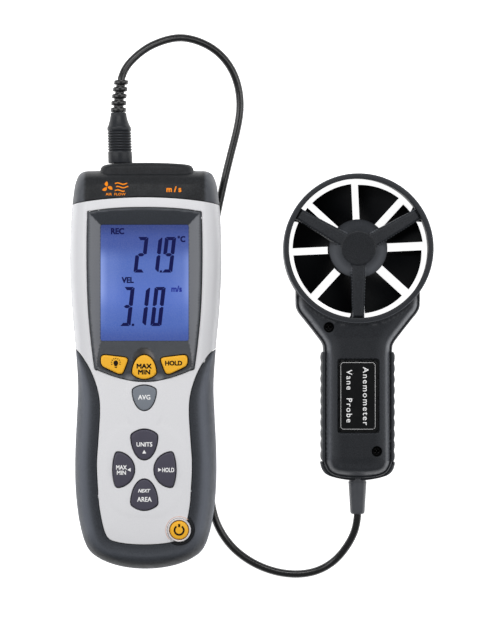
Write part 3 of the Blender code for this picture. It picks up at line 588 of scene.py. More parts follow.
def display_face():
    """A backlit display: lamps at both sides, darker at its top and bottom, behind a polished window."""
    nodes = Nodes("display")
    split = nodes.add("ShaderNodeSeparateXYZ")
    nodes.link(nodes.place, split.inputs[0])

    def curve(axis, stops):
        low, high = stops[0][0] * MM, stops[-1][0] * MM
        share = nodes.add("ShaderNodeMapRange")
        nodes.link(split.outputs[axis], share.inputs["Value"])
        share.inputs["From Min"].default_value, share.inputs["From Max"].default_value = low, high
        ramp = nodes.add("ShaderNodeValToRGB")
        ramp.color_ramp.interpolation = "EASE"
        elements = ramp.color_ramp.elements
        while len(elements) < len(stops):
            elements.new(0.5)
        for element, (place, value) in zip(elements, stops):
            element.position = (place * MM - low) / (high - low)
            element.color = linear(value)
        nodes.link(share.outputs["Result"], ramp.inputs["Fac"])
        return ramp.outputs["Color"]

    column = curve("Y", [(12, "3952a0"), (22, "4766b8"), (34, "5270c6"), (50, "4f6cbc"), (62, "3b529f"),
                         (71, "283c80")])
    side = curve("X", [(-22, "ffffff"), (-17.5, "8a8a8a"), (-9, "000000"), (10, "000000"), (18, "707070"),
                       (22, "d0d0d0")])
    reach = curve("Y", [(16, "000000"), (27, "8a8a8a"), (38, "f0f0f0"), (52, "e0e0e0"), (60, "505050"),
                        (68, "000000")])
    lamps = nodes.blend(1.0, side, reach, "MULTIPLY")
    glow = nodes.blend(lamps, column, linear("93a9ee"))
    cells = nodes.noise(0.3, 2)
    glow = nodes.blend(nodes.spread(cells, 0, 0.05), glow, linear("ffffff"))
    nodes.link(nodes.blend(0.82, glow, linear("000000")), nodes.shader.inputs["Base Color"])
    nodes.link(glow, nodes.shader.inputs["Emission Color"])
    nodes.link(nodes.spread(nodes.noise(6, 3), 0.28, 0.36), nodes.shader.inputs["Roughness"])
    nodes.shader.inputs["Emission Strength"].default_value = 0.8
    nodes.shader.inputs["Specular IOR Level"].default_value = 0.2
    return nodes.material


def circuit(name):
    """Green solder mask with paler copper tracks."""
    nodes = Nodes(name)
    cells = nodes.add("ShaderNodeTexVoronoi", feature="DISTANCE_TO_EDGE")
    nodes.link(nodes.place, cells.inputs["Vector"])
    cells.inputs["Scale"].default_value = 260
    track = nodes.spread(cells.outputs["Distance"], 1, 0, 0.02, 0.06)
    nodes.link(nodes.blend(track, linear("0d5a2c"), linear("2e8a4c")), nodes.shader.inputs["Base Color"])
    nodes.link(nodes.spread(nodes.noise(1.5, 3), 0.3, 0.5), nodes.shader.inputs["Roughness"])
    nodes.bump(track, 0.4, 0.03)
    return nodes.material


# Where a material has two tones, the second is a painted shade or painted highlight, mixed in by a value that
# each piece keeps at its points.
SHELL = moulded("shell_plastic", "e9e9ec", 0.42, worn=0, relief=0.012, tones=("e9e9ec", "8e8f93"))
CAP = moulded("cap_plastic", "26272b", 0.5, relief=0.03, worn=0.2, tones=("0e0f11", "54575d"))
BEZEL = moulded("bezel_plastic", "303235", 0.5, relief=0.03, worn=0.1, tones=("383b40", "797b80"))
GRIP = moulded("grip_rubber", "5c606a", 0.62, grain=0.6, relief=0.04, worn=0, tones=("0e1115", "646871"))
GRIP_REAR = moulded("grip_rubber_rear", "3c4048", 0.66, grain=0.6, relief=0.05, worn=0)
YELLOW = moulded("yellow_key", "fdbc33", 0.4, mottle=0.02, relief=0.012, worn=0)
GREY = moulded("grey_key", "7f858e", 0.4, mottle=0.02, relief=0.012, worn=0)
DARK_KEY = moulded("dark_key", "4c4a57", 0.42, mottle=0.03, relief=0.012, worn=0.1)
BLACK = moulded("black_plastic", "08090b", 0.3, mottle=0.1, relief=0.008, worn=0.1)
VANE = moulded("vane_plastic", "050608", 0.55, mottle=0.1, relief=0.006, worn=0, Specular_IOR_Level=0.08)
PROBE = moulded("probe_plastic", "22252a", 0.46, relief=0.035, worn=0.2, tones=("101216", "74777d"))
PROBE_GRIP = moulded("probe_rubber", "303236", 0.6, grain=0.6, relief=0.05, worn=0.2)
SLEEVE = moulded("sleeve_rubber", "45474c", 0.36, grain=0.6, relief=0.02, worn=0, Specular_IOR_Level=0.5)
PLUG = moulded("plug_plastic", "26282c", 0.38, relief=0.015, worn=0.35)
JACKET = moulded("cord_jacket", "0f1012", 0.26, grain=0.7, relief=0.008, worn=0, Specular_IOR_Level=0.55)
LABEL = moulded("label_film", "090a0c", 0.28, mottle=0.05, relief=0.004, worn=0)
RING = moulded("key_ring", "dedadb", 0.3, mottle=0.02, relief=0.005, worn=0, Specular_IOR_Level=0.6)
STEEL = metal("steel", "a8a9ad", 0.35)
BRASS = metal("brass", "b08d4a", 0.38)
BATTERY = moulded("battery_case", "2a2f3a", 0.35, mottle=0.1, worn=0.3)
MEMBRANE = moulded("membrane", "6a6d72", 0.6, mottle=0.05, worn=0)
BOARD = circuit("circuit_board")
DISPLAY = display_face()
BACKLIGHT = moulded("backlight", "dfe4ef", 0.4, mottle=0.02, worn=0)
DIGITS = ink("digit_ink", "070d4e", worn="0c1464")
DIGITS_FAINT = ink("digit_ink_faint", "2a3a9c", worn="3444a8")
WHITE_INK = ink("white_ink", "ffffff", worn="e6e8ee")
DARK_INK = ink("dark_ink", "1c120c", worn="3a2614")
ORANGE_INK = ink("orange_ink", "ff9008", worn="d87a10")
# Painted highlight: the thin light arc round the power key's ring, made with the ink material.
RING_PAINTED_HIGHLIGHT = ink("ring_painted_highlight", "e8b8a0", worn="d8b8a8")


# Camera, light and floor

FLOOR_HEIGHT = -0.0004  # metres


def add_camera():
    """Straight above, level with the middle of what it shows."""
    data = bpy.data.cameras.new("camera")
    data.lens = 137.5
    data.clip_start = 0.05
    camera = bpy.data.objects.new("camera", data)
    camera.location = (0.04785, 0.02225, 1.25)
    bpy.context.scene.collection.objects.link(camera)
    bpy.context.scene.camera = camera


def add_light(name, place, target, size, power, colour=(1, 1, 1)):
    data = bpy.data.lights.new(name, "AREA")
    data.shape = "RECTANGLE"
    data.size, data.size_y = size
    data.energy = power
    data.color = colour
    light = bpy.data.objects.new(name, data)
    light.location = place
    light.rotation_euler = (Vector(target) - Vector(place)).to_track_quat("-Z", "Y").to_euler()
    bpy.context.scene.collection.objects.link(light)


def add_floor():
    """A white floor that glows a little, so that it renders white under soft shadows."""
    mesh = bpy.data.meshes.new("floor")
    reach = 3.0
    corners = ((-reach, -reach), (reach, -reach), (reach, reach), (-reach, reach))
    mesh.from_pydata([(x, y, FLOOR_HEIGHT) for x, y in corners], [], [(0, 1, 2, 3)])
    nodes = Nodes("floor")
    nodes.link(nodes.blend(nodes.noise(400, 2), linear("fafafa"), linear("ffffff")),
               nodes.shader.inputs["Base Color"])
    nodes.shader.inputs["Roughness"].default_value = 0.9
    nodes.shader.inputs["Emission Color"].default_value = (1, 1, 1, 1)
    nodes.shader.inputs["Emission Strength"].default_value = 0.95
    mesh.materials.append(nodes.material)
    floor = bpy.data.objects.new("floor", mesh)
    bpy.context.scene.collection.objects.link(floor)


def add_studio():
    """A white world and three softboxes."""
    scene = bpy.context.scene
    scene.view_settings.view_transform = "Standard"
    world = bpy.data.worlds.new("studio")
    scene.world = world
    world.use_nodes = True
    world.node_tree.nodes["Background"].inputs["Color"].default_value = (1, 1, 1, 1)
    world.node_tree.nodes["Background"].inputs["Strength"].default_value = 0.27
    middle = (0.045, 0.02, 0.02)
    add_light("left_softbox", (-0.75, 0.25, 0.75), middle, (0.35, 1.1), 4.0)
    add_light("right_softbox", (0.85, 0.2, 0.75), middle, (0.35, 1.1), 3.4)
    add_light("top_softbox", (0.05, 0.75, 1.0), middle, (1.0, 0.3), 5.4)


# Cord, plug and strain reliefs

PLUG_LEAN = ((101.3, 118, 124, 128, 133, 138, 143), (0, -0.55, -0.9, -1.0, -0.75, -0.2, 0.5))  # y, shift
CORD_STEP = 1.5
CORD_ROUNDS = 12  # of smoothing
CORD_IN_SLEEVE = 0.9
LEAN_FADE = 25.0  # the length over which the cord comes back from the plug's lean


def add_cord():
    """The lead as one curve, from inside the plug's sleeve to inside the probe's."""
    data = bpy.data.curves.new("cord", "CURVE")
    data.dimensions = "3D"
    data.bevel_depth = CORD_RADIUS * MM
    data.bevel_resolution = 6
    data.use_fill_caps = True
    route = smooth(np.array(CORD_ROUTE) / MM, 6)
    route = np.vstack([route[0] - (0, CORD_IN_SLEEVE, 0), route, route[-1] + (0, CORD_IN_SLEEVE, 0)])
    along = np.concatenate([[0], np.cumsum(np.linalg.norm(np.diff(route, axis=0), axis=1))])
    places = np.linspace(0, along[-1], int(along[-1] / CORD_STEP))
    route = np.column_stack([np.interp(places, along, route[:, axis]) for axis in range(3)])
    for _ in range(CORD_ROUNDS):
        route[2:-2] = (route[1:-3] + 2 * route[2:-2] + route[3:-1]) / 4
    route[:, 0] += PLUG_LEAN[1][-1] * np.clip(1 - places / LEAN_FADE, 0, 1)
    spline = data.splines.new("POLY")
    spline.points.add(len(route) - 1)
    for point, place in zip(spline.points, route):
        point.co = (*(place * MM), 1)
    spline.use_smooth = True
    data.materials.append(JACKET)
    cord = bpy.data.objects.new("cord", data)
    bpy.context.scene.collection.objects.link(cord)
    settle(cord, "case", ("probe_cord",), "cord_jacket")
    return cord, np.linalg.norm(np.diff(route, axis=0), axis=1).sum() * MM


def flanges(top, bottom, radii, groove, ribs, share=0.62, turn=0.35):
    """Profile points down a sleeve with rounded flanges, whose radius changes from one to the next."""
    pitch = (top - bottom) / (ribs - 1 + share)
    profile = []
    for rib, radius in enumerate(np.linspace(*radii, ribs)):
        high, low = top - rib * pitch, top - rib * pitch - share * pitch
        profile += [(radius - turn, high), (radius - 0.3 * turn, high - 0.3 * turn), (radius, high - turn),
                    (radius, low + turn), (radius - 0.3 * turn, low + 0.3 * turn), (radius - turn, low)]
        if rib < ribs - 1:
            neck = radius - groove
            profile += [(neck + 0.1, low - 0.1), (neck, low - 0.3), (neck, low - (1 - share) * pitch + 0.3)]
            profile.append((neck + 0.1, low - (1 - share) * pitch + 0.1))
    return profile


def lean_plug(thing):
    """Bend the flexible plug sideways: out to the left, and back along its sleeve."""
    places = np.array([tuple(vertex.co) for vertex in thing.data.vertices])
    places[:, 0] += np.interp(places[:, 1] / MM, *PLUG_LEAN) * MM
    thing.data.vertices.foreach_set("co", places.ravel().astype(np.float32))
    thing.data.update()


def add_plug():
    """The ringed plug, its flanged sleeve and the socket that it sits in."""
    centre = (PLUG_X, PLUG_Z)
    base, turn = BOSS_HIGH[1] + GAP, 0.4
    profile = [(0, 126.8), (3.6, 126.8), (4.0, 126.4), (4.1, 125), (4.6, 122.8), (5.4, 120.4), (5.8, 119.7),
               (6.0, 119.2), (6.0, 118.0), (5.8, 117.6), (5.6, 117.4)]
    rings, low, high = 7, 107.7, 117.2
    pitch = (high - low) / rings
    for ring in range(rings):
        start = high - ring * pitch
        for share, radius in ((0.05, 5.45), (0.25, 5.95), (0.5, 6.05), (0.75, 5.95), (0.95, 5.45)):
            profile.append((radius, start - share * pitch))
    profile += [(5.7, 107.5), (6.0, 107.1), (6.05, 106.6), (6.05, base + turn), (5.9, base), (3.6, base),
                (3.6, 90), (0, 90)]
    plug = lathe("plug", profile, PLUG, centre, "Y", stands_for=("plug_body",), slot="black_plastic")
    relief = [(0, 143)] + flanges(143, 127.1, (3.6, 3.9), 1.3, 5) + [(0, 127.1)]
    sleeve = lathe("plug_relief", relief, JACKET, centre, "Y", 64, stands_for=("plug_strain_relief",),
                   slot="cord_jacket")
    lean_plug(plug)
    lean_plug(sleeve)
    socket = [(0, 88.5), (4.0, 88.5), (4.0, 100.5), (4.2, 100.9), (5.3, 100.9), (5.5, 100.7), (5.5, 86),
              (0, 86)]
    lathe("socket", socket, BLACK, centre, "Y", stands_for=("sensor_socket",), slot="black_plastic")
    return plug, sleeve


def add_probe_relief():
    profile = [(0, -74.7), (2.9, -74.7), (3.3, -74.5), (3.6, -74.0), (3.7, -73.2), (4.5, -59.6), (4.6, -58.5),
               (4.2, -58.3), (4.2, -55.2), (6.0, -55.2), (6.0, -53.3), (0, -53.3)]
    return lathe("probe_relief", profile, SLEEVE, (PROBE_X, PROBE_PARTING), "Y", 64,
                 stands_for=("probe_strain_relief",), slot="cord_jacket")


# The case's form

CASE_OUTLINE = counter_clockwise(smooth(mirrored(CASE_SIDE), 12, closed=True))
CASE_AWAY = CASE_OUTLINE - CASE_CENTRE
CASE_ANGLES = np.arctan2(CASE_AWAY[:, 1], CASE_AWAY[:, 0])
CASE_REACH = np.linalg.norm(CASE_AWAY, axis=1)


def case_inset(points):
    """How far the case's outline is drawn in where it passes through each point."""
    away = points - CASE_CENTRE
    low, high = np.full(len(points), -2.0), np.full(len(points), 37.0)
    for _ in range(24):
        middle = (low + high) / 2
        larger = away / (1 - middle[:, None] / CASE_HALF)
        edge = np.interp(np.arctan2(larger[:, 1], larger[:, 0]), CASE_ANGLES, CASE_REACH, period=math.tau)
        outside = np.hypot(larger[:, 0], larger[:, 1]) > edge
        high = np.where(outside, middle, high)
        low = np.where(outside, low, middle)
    return low


def even_profile(points, blend):
    """Insets and heights along a smooth profile, with its creases rounded over this width."""
    places = np.arange(0, 40, 0.05)
    heights = np.interp(places, *np.array(points).T)
    width = max(1, int(blend / 0.05))
    padded = np.concatenate([np.full(width, heights[0]), heights, np.full(width, heights[-1])])
    mean = np.convolve(padded, np.ones(2 * width + 1) / (2 * width + 1), "valid")
    near = np.clip(places / (2 * blend), 0, 1)
    return places, heights * (1 - near) + mean * near


FRONT = even_profile(np.vstack([smooth(FRONT_FLANK, 6), smooth(FRONT_CROWN, 6)[1:]]), 0.7)
REAR = even_profile(REAR_PROFILE, 0.9)


def front_height(points):
    return np.interp(case_inset(points), *FRONT)


def rear_height(points):
    return np.interp(case_inset(points), *REAR)


CASE_RINGS = [CASE_CENTRE + CASE_AWAY * (1 - inset / CASE_HALF)
              for inset in (0.15, 0.35, 0.65, 1.0, 1.5, 2.1, 2.9, 3.8, 5.0, 6.3, 7.0, 7.6, 8.2)]


def cap_region(shift):
    """Everything above the cap's arched lower edge, which can be moved up."""
    x = np.linspace(48, -48, 97)
    arch = np.column_stack([x, CAP_EDGE + shift - CAP_DROP * (x / CAP_REACH) ** 2])
    return counter_clockwise(np.vstack([arch, [(-48, 115), (48, 115)]]))


PANEL_LINE = smooth(PANEL_SIDE + [(-x, y) for x, y in reversed(PANEL_SIDE[:-1])], 14)


def grip_region(shift):
    """Everything outside the panel's line, which can be moved outward."""
    return counter_clockwise(np.vstack([shifted(PANEL_LINE, shift), [(-47, -112), (47, -112)]]))


def key_outline(name, grow=0.0):
    """A key's outline with rounded corners: a bowed side at the root, and a half oval to the tip."""
    if name in ("light_button", "hold_button"):
        side = 1 if name == "light_button" else -1
        sharp = np.array(LIGHT_KEY)
        loop = softened(counter_clockwise(sharp.mean(axis=0) + (sharp - sharp.mean(axis=0)) * 1.07), 1.45)
        loop = loop * (side, 1)
    else:
        root, heading, half_width, length, bow, _ = BOWED_KEYS[name]
        foot = [(bow * u * u, half_width * u) for u in np.linspace(-1, 1, 13)]
        tip = length - bow
        angles = np.linspace(0, math.pi, 33)[1:-1]
        oval = [(bow + tip * math.sin(a), half_width * math.cos(a)) for a in angles]
        turn = math.radians(heading)
        along = np.array((math.cos(turn), math.sin(turn)))
        across = np.array((-math.sin(turn), math.cos(turn)))
        loop = [np.array(root) + along * a + across * b for a, b in foot + oval]
        loop = softened(loop, 0.75)
    return grown(counter_clockwise(loop), grow)


KEYS = ("light_button", "hold_button", *BOWED_KEYS)
PANEL_KEYS = [name for name in BOWED_KEYS if name != "maxmin_button"]
BEZEL_LOOP = counter_clockwise(softened(smooth(mirrored(BEZEL_SIDE), 4, closed=True), 0.5))


def shell_face(points):
    """The panel's height, with faint raised pads round the keys."""
    base = front_height(points)
    pad = np.zeros(len(points))
    for centre, half in (((0, -17), (9.3, 13.5)), ((0, -50.8), (20.5, 23))):
        u = np.abs(points - centre) / half
        spread = (u**2.6).sum(axis=1) ** (1 / 2.6)
        pad = np.maximum(pad, np.clip((1.06 - spread) / 0.12, 0, 1))
    return base + 0.14 * pad * pad * (3 - 2 * pad)


def add_front_shell():
    slots = [key_outline(name, KEY_SLOT) for name in PANEL_KEYS]
    recess = circle(POWER_CENTRE, POWER_RING + 0.08)
    bezel = grown(BEZEL_LOOP, GAP)
    cap, grip = cap_region(-HALF_GAP), grip_region(GAP)

    def painted_shading(points):
        """Painted shade: the shell's outer edge and the foot of its panel are a little greyer than its face,
        more on the left.
        """
        side = distance_to(points, CASE_OUTLINE)
        side = np.interp(side, [0, 0.5, 1.1, 3.5, 6.5, 8], [0.95, 0.75, 0.28, 0.25, 0.15, 0.0])
        return side * np.interp(points[:, 0], [-20, 20], [1.0, 0.8]) * (points[:, 1] > -20)

    back = wall_back(front_height, FRONT_WALL, PARTING + HALF_GAP)
    plate("front_panel", [CASE_OUTLINE], [bezel, cap, grip, recess, *slots], shell_face, back, SHELL,
          stands_for=("front_shell",), slot="shell_plastic", edge=0.4, extra=CASE_RINGS, painted_shading=painted_shading)


# Across the grip, from 0 at the panel's edge to 1 at the case's outline: its height over the case, and its
# painted highlight and shade
GRIP_SWELL = np.array([(0, -0.5), (0.1, -0.35), (0.3, 0.5), (0.45, 1.5), (0.6, 1.9), (0.75, 1.5), (0.9, 0.5),
                       (1, 0)])
GRIP_SIDE_PAINTED_SHADING = np.array([(0, 0.2), (0.12, 0.15), (0.3, 0.3), (0.45, 0.8), (0.58, 1.0), (0.7, 0.85),
                           (0.82, 0.45), (0.93, 0.6), (1, 0.95)])
GRIP_END_PAINTED_SHADING = np.array([(0, 0.25), (0.45, 0.36), (0.72, 0.0), (0.9, 0.0), (0.945, 0.5), (0.96, 0.9),
                          (1, 0.5)])


def add_front_grip():
    """The grip's front half, and the floor of the power key's recess."""
    grip = grip_region(0)
    recess = circle(POWER_CENTRE, POWER_RECESS)

    def share(points):
        """0 at the panel's edge and 1 at the case's outline."""
        from_panel = nearest(points, PANEL_LINE[:-1], PANEL_LINE[1:])[0]
        from_side = distance_to(points, CASE_OUTLINE)
        return from_panel / (from_panel + from_side + 1e-6)

    def height(points):
        return front_height(points) + np.interp(share(points), *GRIP_SWELL.T)

    def painted_shading(points):
        """Painted highlight along the swell's crest, and painted shade at the grip's lower end."""
        place = share(points)
        low_end = np.clip((-80 - points[:, 1]) / 14, 0, 1)
        side, end = (np.interp(place, *tones.T) for tones in (GRIP_SIDE_PAINTED_SHADING, GRIP_END_PAINTED_SHADING))
        return side * (1 - low_end) + end * low_end

    back = wall_back(front_height, GRIP_WALL, PARTING + HALF_GAP)
    plate("grip_front", [CASE_OUTLINE, grip], [recess], height, back, GRIP, stands_for=("front_grip",),
          slot="grip_rubber", edge=0.5, extra=CASE_RINGS, spacing=1.5, painted_shading=painted_shading)
    floor = circle(POWER_CENTRE, POWER_RECESS - 0.02)
    hole = circle(POWER_CENTRE, POWER_RING + HALF_GAP)
    plate("power_recess", [floor], [hole], level(POWER_FLOOR), level(POWER_FLOOR - 3.6), GRIP, edge=0.2,
          slot="grip_rubber")


def add_cap():
    loops = [CASE_OUTLINE, cap_region(HALF_GAP)]
    how = dict(stands_for=("top_cap",), slot="cap_plastic", extra=CASE_RINGS)

    def painted_shading(points):
        """Painted highlight: the cap's sides and corners are lighter than its face."""
        inset = case_inset(points)
        side = np.clip((np.abs(points[:, 0]) - 29.3) / 1.2, 0, 1)
        return np.maximum(0.75 * side, 0.35 * np.clip(1 - inset / 1.2, 0, 1))

    plate("cap_front", loops, [], front_height, wall_back(front_height, WALL, PARTING), CAP, painted_shading=painted_shading, **how)
    plate("cap_rear", loops, [], rear_height, wall_back(rear_height, -WALL, PARTING), CAP, up=-1, **how)
    add_boss()


def add_boss():
    """The raised end that holds the socket: a rounded block with a slightly arched end."""
    x_low, x_high, z_low, z_high = BOSS_LOW[0], BOSS_HIGH[0], BOSS_LOW[2], BOSS_HIGH[2]
    middle = (x_low + x_high) / 2
    loop = rounded_rectangle((x_low, z_low), (x_high, z_high), 5.5)
    loop = even(loop, 1.0)
    inner = loop.mean(axis=0)
    rows = []
    for place, inset in ((92, 0), (98.4, 0), (99.5, 0.25), (100.3, 0.75), (100.8, 1.4), (101.1, 2.6),
                         (101.2, 5.5), (101.25, 9)):
        size = np.array((x_high - middle, (z_high - z_low) / 2))
        ring = inner + (loop - inner) * (1 - inset / size)
        across = (ring[:, 0] - middle) / (x_high - middle)
        rows.append(np.column_stack([ring[:, 0], place - 1.1 * across**2 * (place > 95), ring[:, 1]]))
    count = len(loop)
    points = np.vstack(rows + [rows[0].mean(axis=0)[None], rows[-1].mean(axis=0)[None]])
    faces = skin(len(rows), count, False)
    last = (len(rows) - 1) * count
    for here in range(count):
        there = (here + 1) % count
        faces.append((here, there, len(points) - 2))
        faces.append((last + here, last + there, len(points) - 1))
    face_outward(add_piece("cap_boss", points, faces, CAP, stands_for=("top_cap",), slot="cap_plastic"))


BEZEL_RIM = 0.7
SCOOP = (-0.2, 3.8)  # the middle of the bezel's scoop at the max/min key


def bezel_shares(points):
    """How far each point has come from the bezel's rim to the window, from the side and from the top."""
    x, y = np.abs(points[:, 0]), points[:, 1]
    outer_x = np.interp(y, [-7, -1.9, 0.4, 25, 50, 74.2, 76.4], [8, 22.6, 24.6, 27.3, 28.2, 27.9, 27.6])
    inner_x = np.interp(y, [-2, 4, 9, WINDOW_LOW], [23.6, 23.2, 22.4, WINDOW_HALF])
    outer_y = np.interp(x, [0, 14, 26.6, 28], [78.3, 77.9, 76.4, 75.8]) - BEZEL_RIM
    outer_x = outer_x - BEZEL_RIM
    side = (outer_x - x) / np.maximum(outer_x - inner_x, 0.3)
    return side, (outer_y - y) / (outer_y - WINDOW_HIGH)


def bezel_height(points):
    """A sunken frame: facets that slope from the rim to the glass, mitred at the corners."""
    rim = front_height(points) + 1.1
    x, y = np.abs(points[:, 0]), points[:, 1]
    side, top = (np.clip(share, 0, 1) for share in bezel_shares(points))
    rise = np.clip((WINDOW_LOW - y) / 9.5, 0, 1)
    plateau = front_height(points) + 0.75
    floor = (GLASS + 0.15) * (1 - rise) + plateau * rise
    height = floor + (rim - floor) * (1 - np.minimum(side, top))
    ring = np.linalg.norm(points - SCOOP, axis=1)
    scoop = np.clip((5.7 - ring) / 3.4, 0, 1)
    dips = np.clip(1 - np.hypot((x - 7.2) / 2.6, (y + 5.0) / 2.4), 0, 1)
    return height - 3.0 * scoop - 1.0 * dips


def add_bezel():
    window = rounded_rectangle((-WINDOW_HALF, WINDOW_LOW), (WINDOW_HALF, WINDOW_HIGH), 0.5, 4)
    slots = [key_outline(name, KEY_SLOT) for name in ("light_button", "hold_button", "maxmin_button")]
    mitres = []
    for side in (-1, 1):
        for start, end in (((26.3, 75.2), (21.8, 70.1)), ((21.8, 12.6), (23.3, 3))):
            for share in np.linspace(0, 1, 12):
                x, y = np.array(start) + np.subtract(end, start) * share
                mitres.append((side * x, y))

    def painted_shading(points):
        """Painted highlights: lighter side facets, a thin lighter line along the rim, the scoop's right side
        and the dips, with a faint lift below the window.
        """
        x, y = np.abs(points[:, 0]), points[:, 1]
        side, top = bezel_shares(points)
        facet_highlight = np.clip((top - side) / 0.05, 0, 1) * np.clip((1 - side) / 0.04, 0, 1)
        facet_highlight *= np.clip(side / 0.06, 0, 1)
        rim = np.clip(1 - np.abs(distance_to(points, BEZEL_LOOP) - 0.75) / 0.3, 0, 1)
        ring = np.linalg.norm(points - SCOOP, axis=1)
        hood_highlight = np.clip((5.6 - ring) / 0.8, 0, 1) * np.clip(0.3 + 0.16 * points[:, 0], 0, 0.8) * (y > 3)
        dips = np.clip(1.3 - np.hypot((x - 7.2) / 2.4, (y + 5.2) / 2.0), 0, 0.75)
        low = 0.05 * (y < WINDOW_LOW)
        return np.clip(np.maximum.reduce([0.95 * facet_highlight, 0.5 * rim, hood_highlight, dips, low]), 0, 1)

    plate("display_bezel", [BEZEL_LOOP], [window, *slots], bezel_height, level(34.5), BEZEL, edge=0.3,
          stands_for=("lcd_bezel",), slot="bezel_plastic", spacing=0.8, extra=[np.array(mitres)], painted_shading=painted_shading)


def seven_segments(digit):
    """The lit bars of a digit, by their usual letters."""
    return {"0": "abcdef", "1": "bc", "2": "abged", "3": "abgcd", "9": "abcdfg"}[digit]


def digit_shapes(digit, x, y, width, height, across, along, lean):
    """The lit bars of one digit as outlines, leaning right: uprights this wide, level bars this high."""
    gap, corner, middle = 0.14, 0.45, height / 2
    upright = {"f": (0, middle, 1), "e": (0, middle, -1), "b": (width, middle, 1), "c": (width, middle, -1)}
    shapes = []
    for bar in seven_segments(digit):
        if bar in upright:
            edge, start, way = upright[bar]
            inward = across if edge == 0 else -across
            shape = [(edge, corner), (edge, middle - corner), (edge + 0.25 * inward, middle - corner + 0.1),
                     (edge + inward, middle - along - gap), (edge + inward, 0.5 * along + gap),
                     (edge + 0.5 * inward, gap)]
            shape = [(px, start + way * py) for px, py in shape]
        elif bar == "g":
            half = along / 2
            tip, end = 0.5 * across + gap, across + gap
            shape = [(tip, middle), (end, middle - half), (width - end, middle - half),
                     (width - tip, middle), (width - end, middle + half), (end, middle + half)]
        else:
            outer, inner = (height, height - along) if bar == "a" else (0, along)
            slant = 0.9 * across
            shape = [(corner, outer), (width - corner, outer), (width - slant, inner), (slant, inner)]
        shapes.append([(x + px + lean * py, y + py) for px, py in shape])
    return shapes


def raised_shapes(name, shapes, base, thick, look, body="case", slot="display"):
    """Flat printed shapes as one thin closed piece; base is a height function."""
    points, faces = [], []
    for shape in shapes:
        outline = counter_clockwise(shape)
        start, count = len(points), len(outline)
        heights = base(outline)
        points += [(x, y, z + thick) for (x, y), z in zip(outline, heights)]
        points += [(x, y, z - 0.05) for (x, y), z in zip(outline, heights)]
        faces.append(tuple(range(start, start + count)))
        faces.append(tuple(range(start + 2 * count - 1, start + count - 1, -1)))
        for here in range(count):
            there = (here + 1) % count
            faces.append((start + here, start + count + here, start + count + there, start + there))
    return add_piece(name, points, faces, look, body, slot=slot)


def lettering(name, words, centre, height, base, look, body="case", bold=0.0, stretch=1.0, lean=0.0,
              turn=0.0, thick=0.05, spaced=1.0, slot=None):
    """Words as thin closed letters whose capitals have this height, on the surface that base() gives."""
    data = bpy.data.curves.new(name, "FONT")
    data.body = words
    data.align_x, data.align_y = "CENTER", "CENTER"
    data.extrude = 0.5
    data.shear = lean
    data.space_character = spaced
    data.resolution_u = 3
    text = bpy.data.objects.new(name, data)
    bpy.context.scene.collection.objects.link(text)
    bpy.context.view_layer.update()
    mesh = bpy.data.meshes.new_from_object(text.evaluated_get(bpy.context.evaluated_depsgraph_get()))
    bpy.data.objects.remove(text)
    places = np.array([tuple(vertex.co) for vertex in mesh.vertices])
    flat = places[:, :2]
    flat = flat - (flat.min(axis=0) + flat.max(axis=0)) / 2
    flat = flat * height / 0.72 * (stretch, 1)
    angle = math.radians(turn)
    spin = np.array(((math.cos(angle), math.sin(angle)), (-math.sin(angle), math.cos(angle))))
    outlines = [tuple(polygon.vertices) for polygon in mesh.polygons]
    bpy.data.meshes.remove(mesh)
    points, faces = [], []
    spread = [(-bold, -bold), (bold, -bold), (-bold, bold), (bold, bold)] if bold else [(0, 0)]
    for copy, shift in enumerate(spread):
        placed = (flat + shift) @ spin + centre
        z = base(placed) + np.where(places[:, 2] > 0, thick + 0.006 * copy, -0.05)
        faces += [tuple(corner + len(points) for corner in outline) for outline in outlines]
        points += np.column_stack([placed, z]).tolist()
    thing = add_piece(name, points, faces, look, body, slot=slot)
    thing.data.shade_flat()
    return thing


def add_display():
    """The lit panel behind its window, with its digits and words."""
    half, low, high = WINDOW_HALF + 0.6, WINDOW_LOW - 0.6, WINDOW_HIGH + 0.6
    loop = rounded_rectangle((-half, low), (half, high), 1.0)
    plate("display_face", [loop], [], level(GLASS), level(34.6), DISPLAY,
          stands_for=("lcd_panel", "lcd_window"), slot="display", edge=0.2, spacing=4.0)
    lean = math.tan(math.radians(6.5))
    upper = [bar for digit, x in (("2", -5.5), ("1", 1.4), ("9", 8.15))
             for bar in digit_shapes(digit, x, 46.4, 5.5, 17.6, 1.9, 1.6, lean)]
    upper.append([(7.4, 46.4), (8.6, 46.4), (8.7, 47.5), (7.5, 47.5)])
    lower = [bar for digit, x in (("3", -12.5), ("1", -4.85), ("0", 2.8))
             for bar in digit_shapes(digit, x, 20.0, 5.5, 19.3, 2.0, 1.6, lean)]
    lower.append([(-6.4, 20.0), (-5.2, 20.0), (-5.1, 21.2), (-6.3, 21.2)])
    raised_shapes("display_digits", upper + lower, level(GLASS), 0.03, DIGITS)
    signs = (
        ("display_rec", "REC", (-13.35, 66.85), 2.9, DIGITS),
        ("display_vel", "VEL", (-8.3, 42.7), 2.8, DIGITS),
        ("display_celsius", "°C", (18.2, 63.0), 2.8, DIGITS),
        ("display_speed", "m/s", (15.8, 38.4), 2.9, DIGITS_FAINT),
    )
    for name, words, centre, size, look in signs:
        lettering(name, words, centre, size, level(GLASS), look, bold=0.16, stretch=0.92, thick=0.03,
                  slot="display")


# Keys

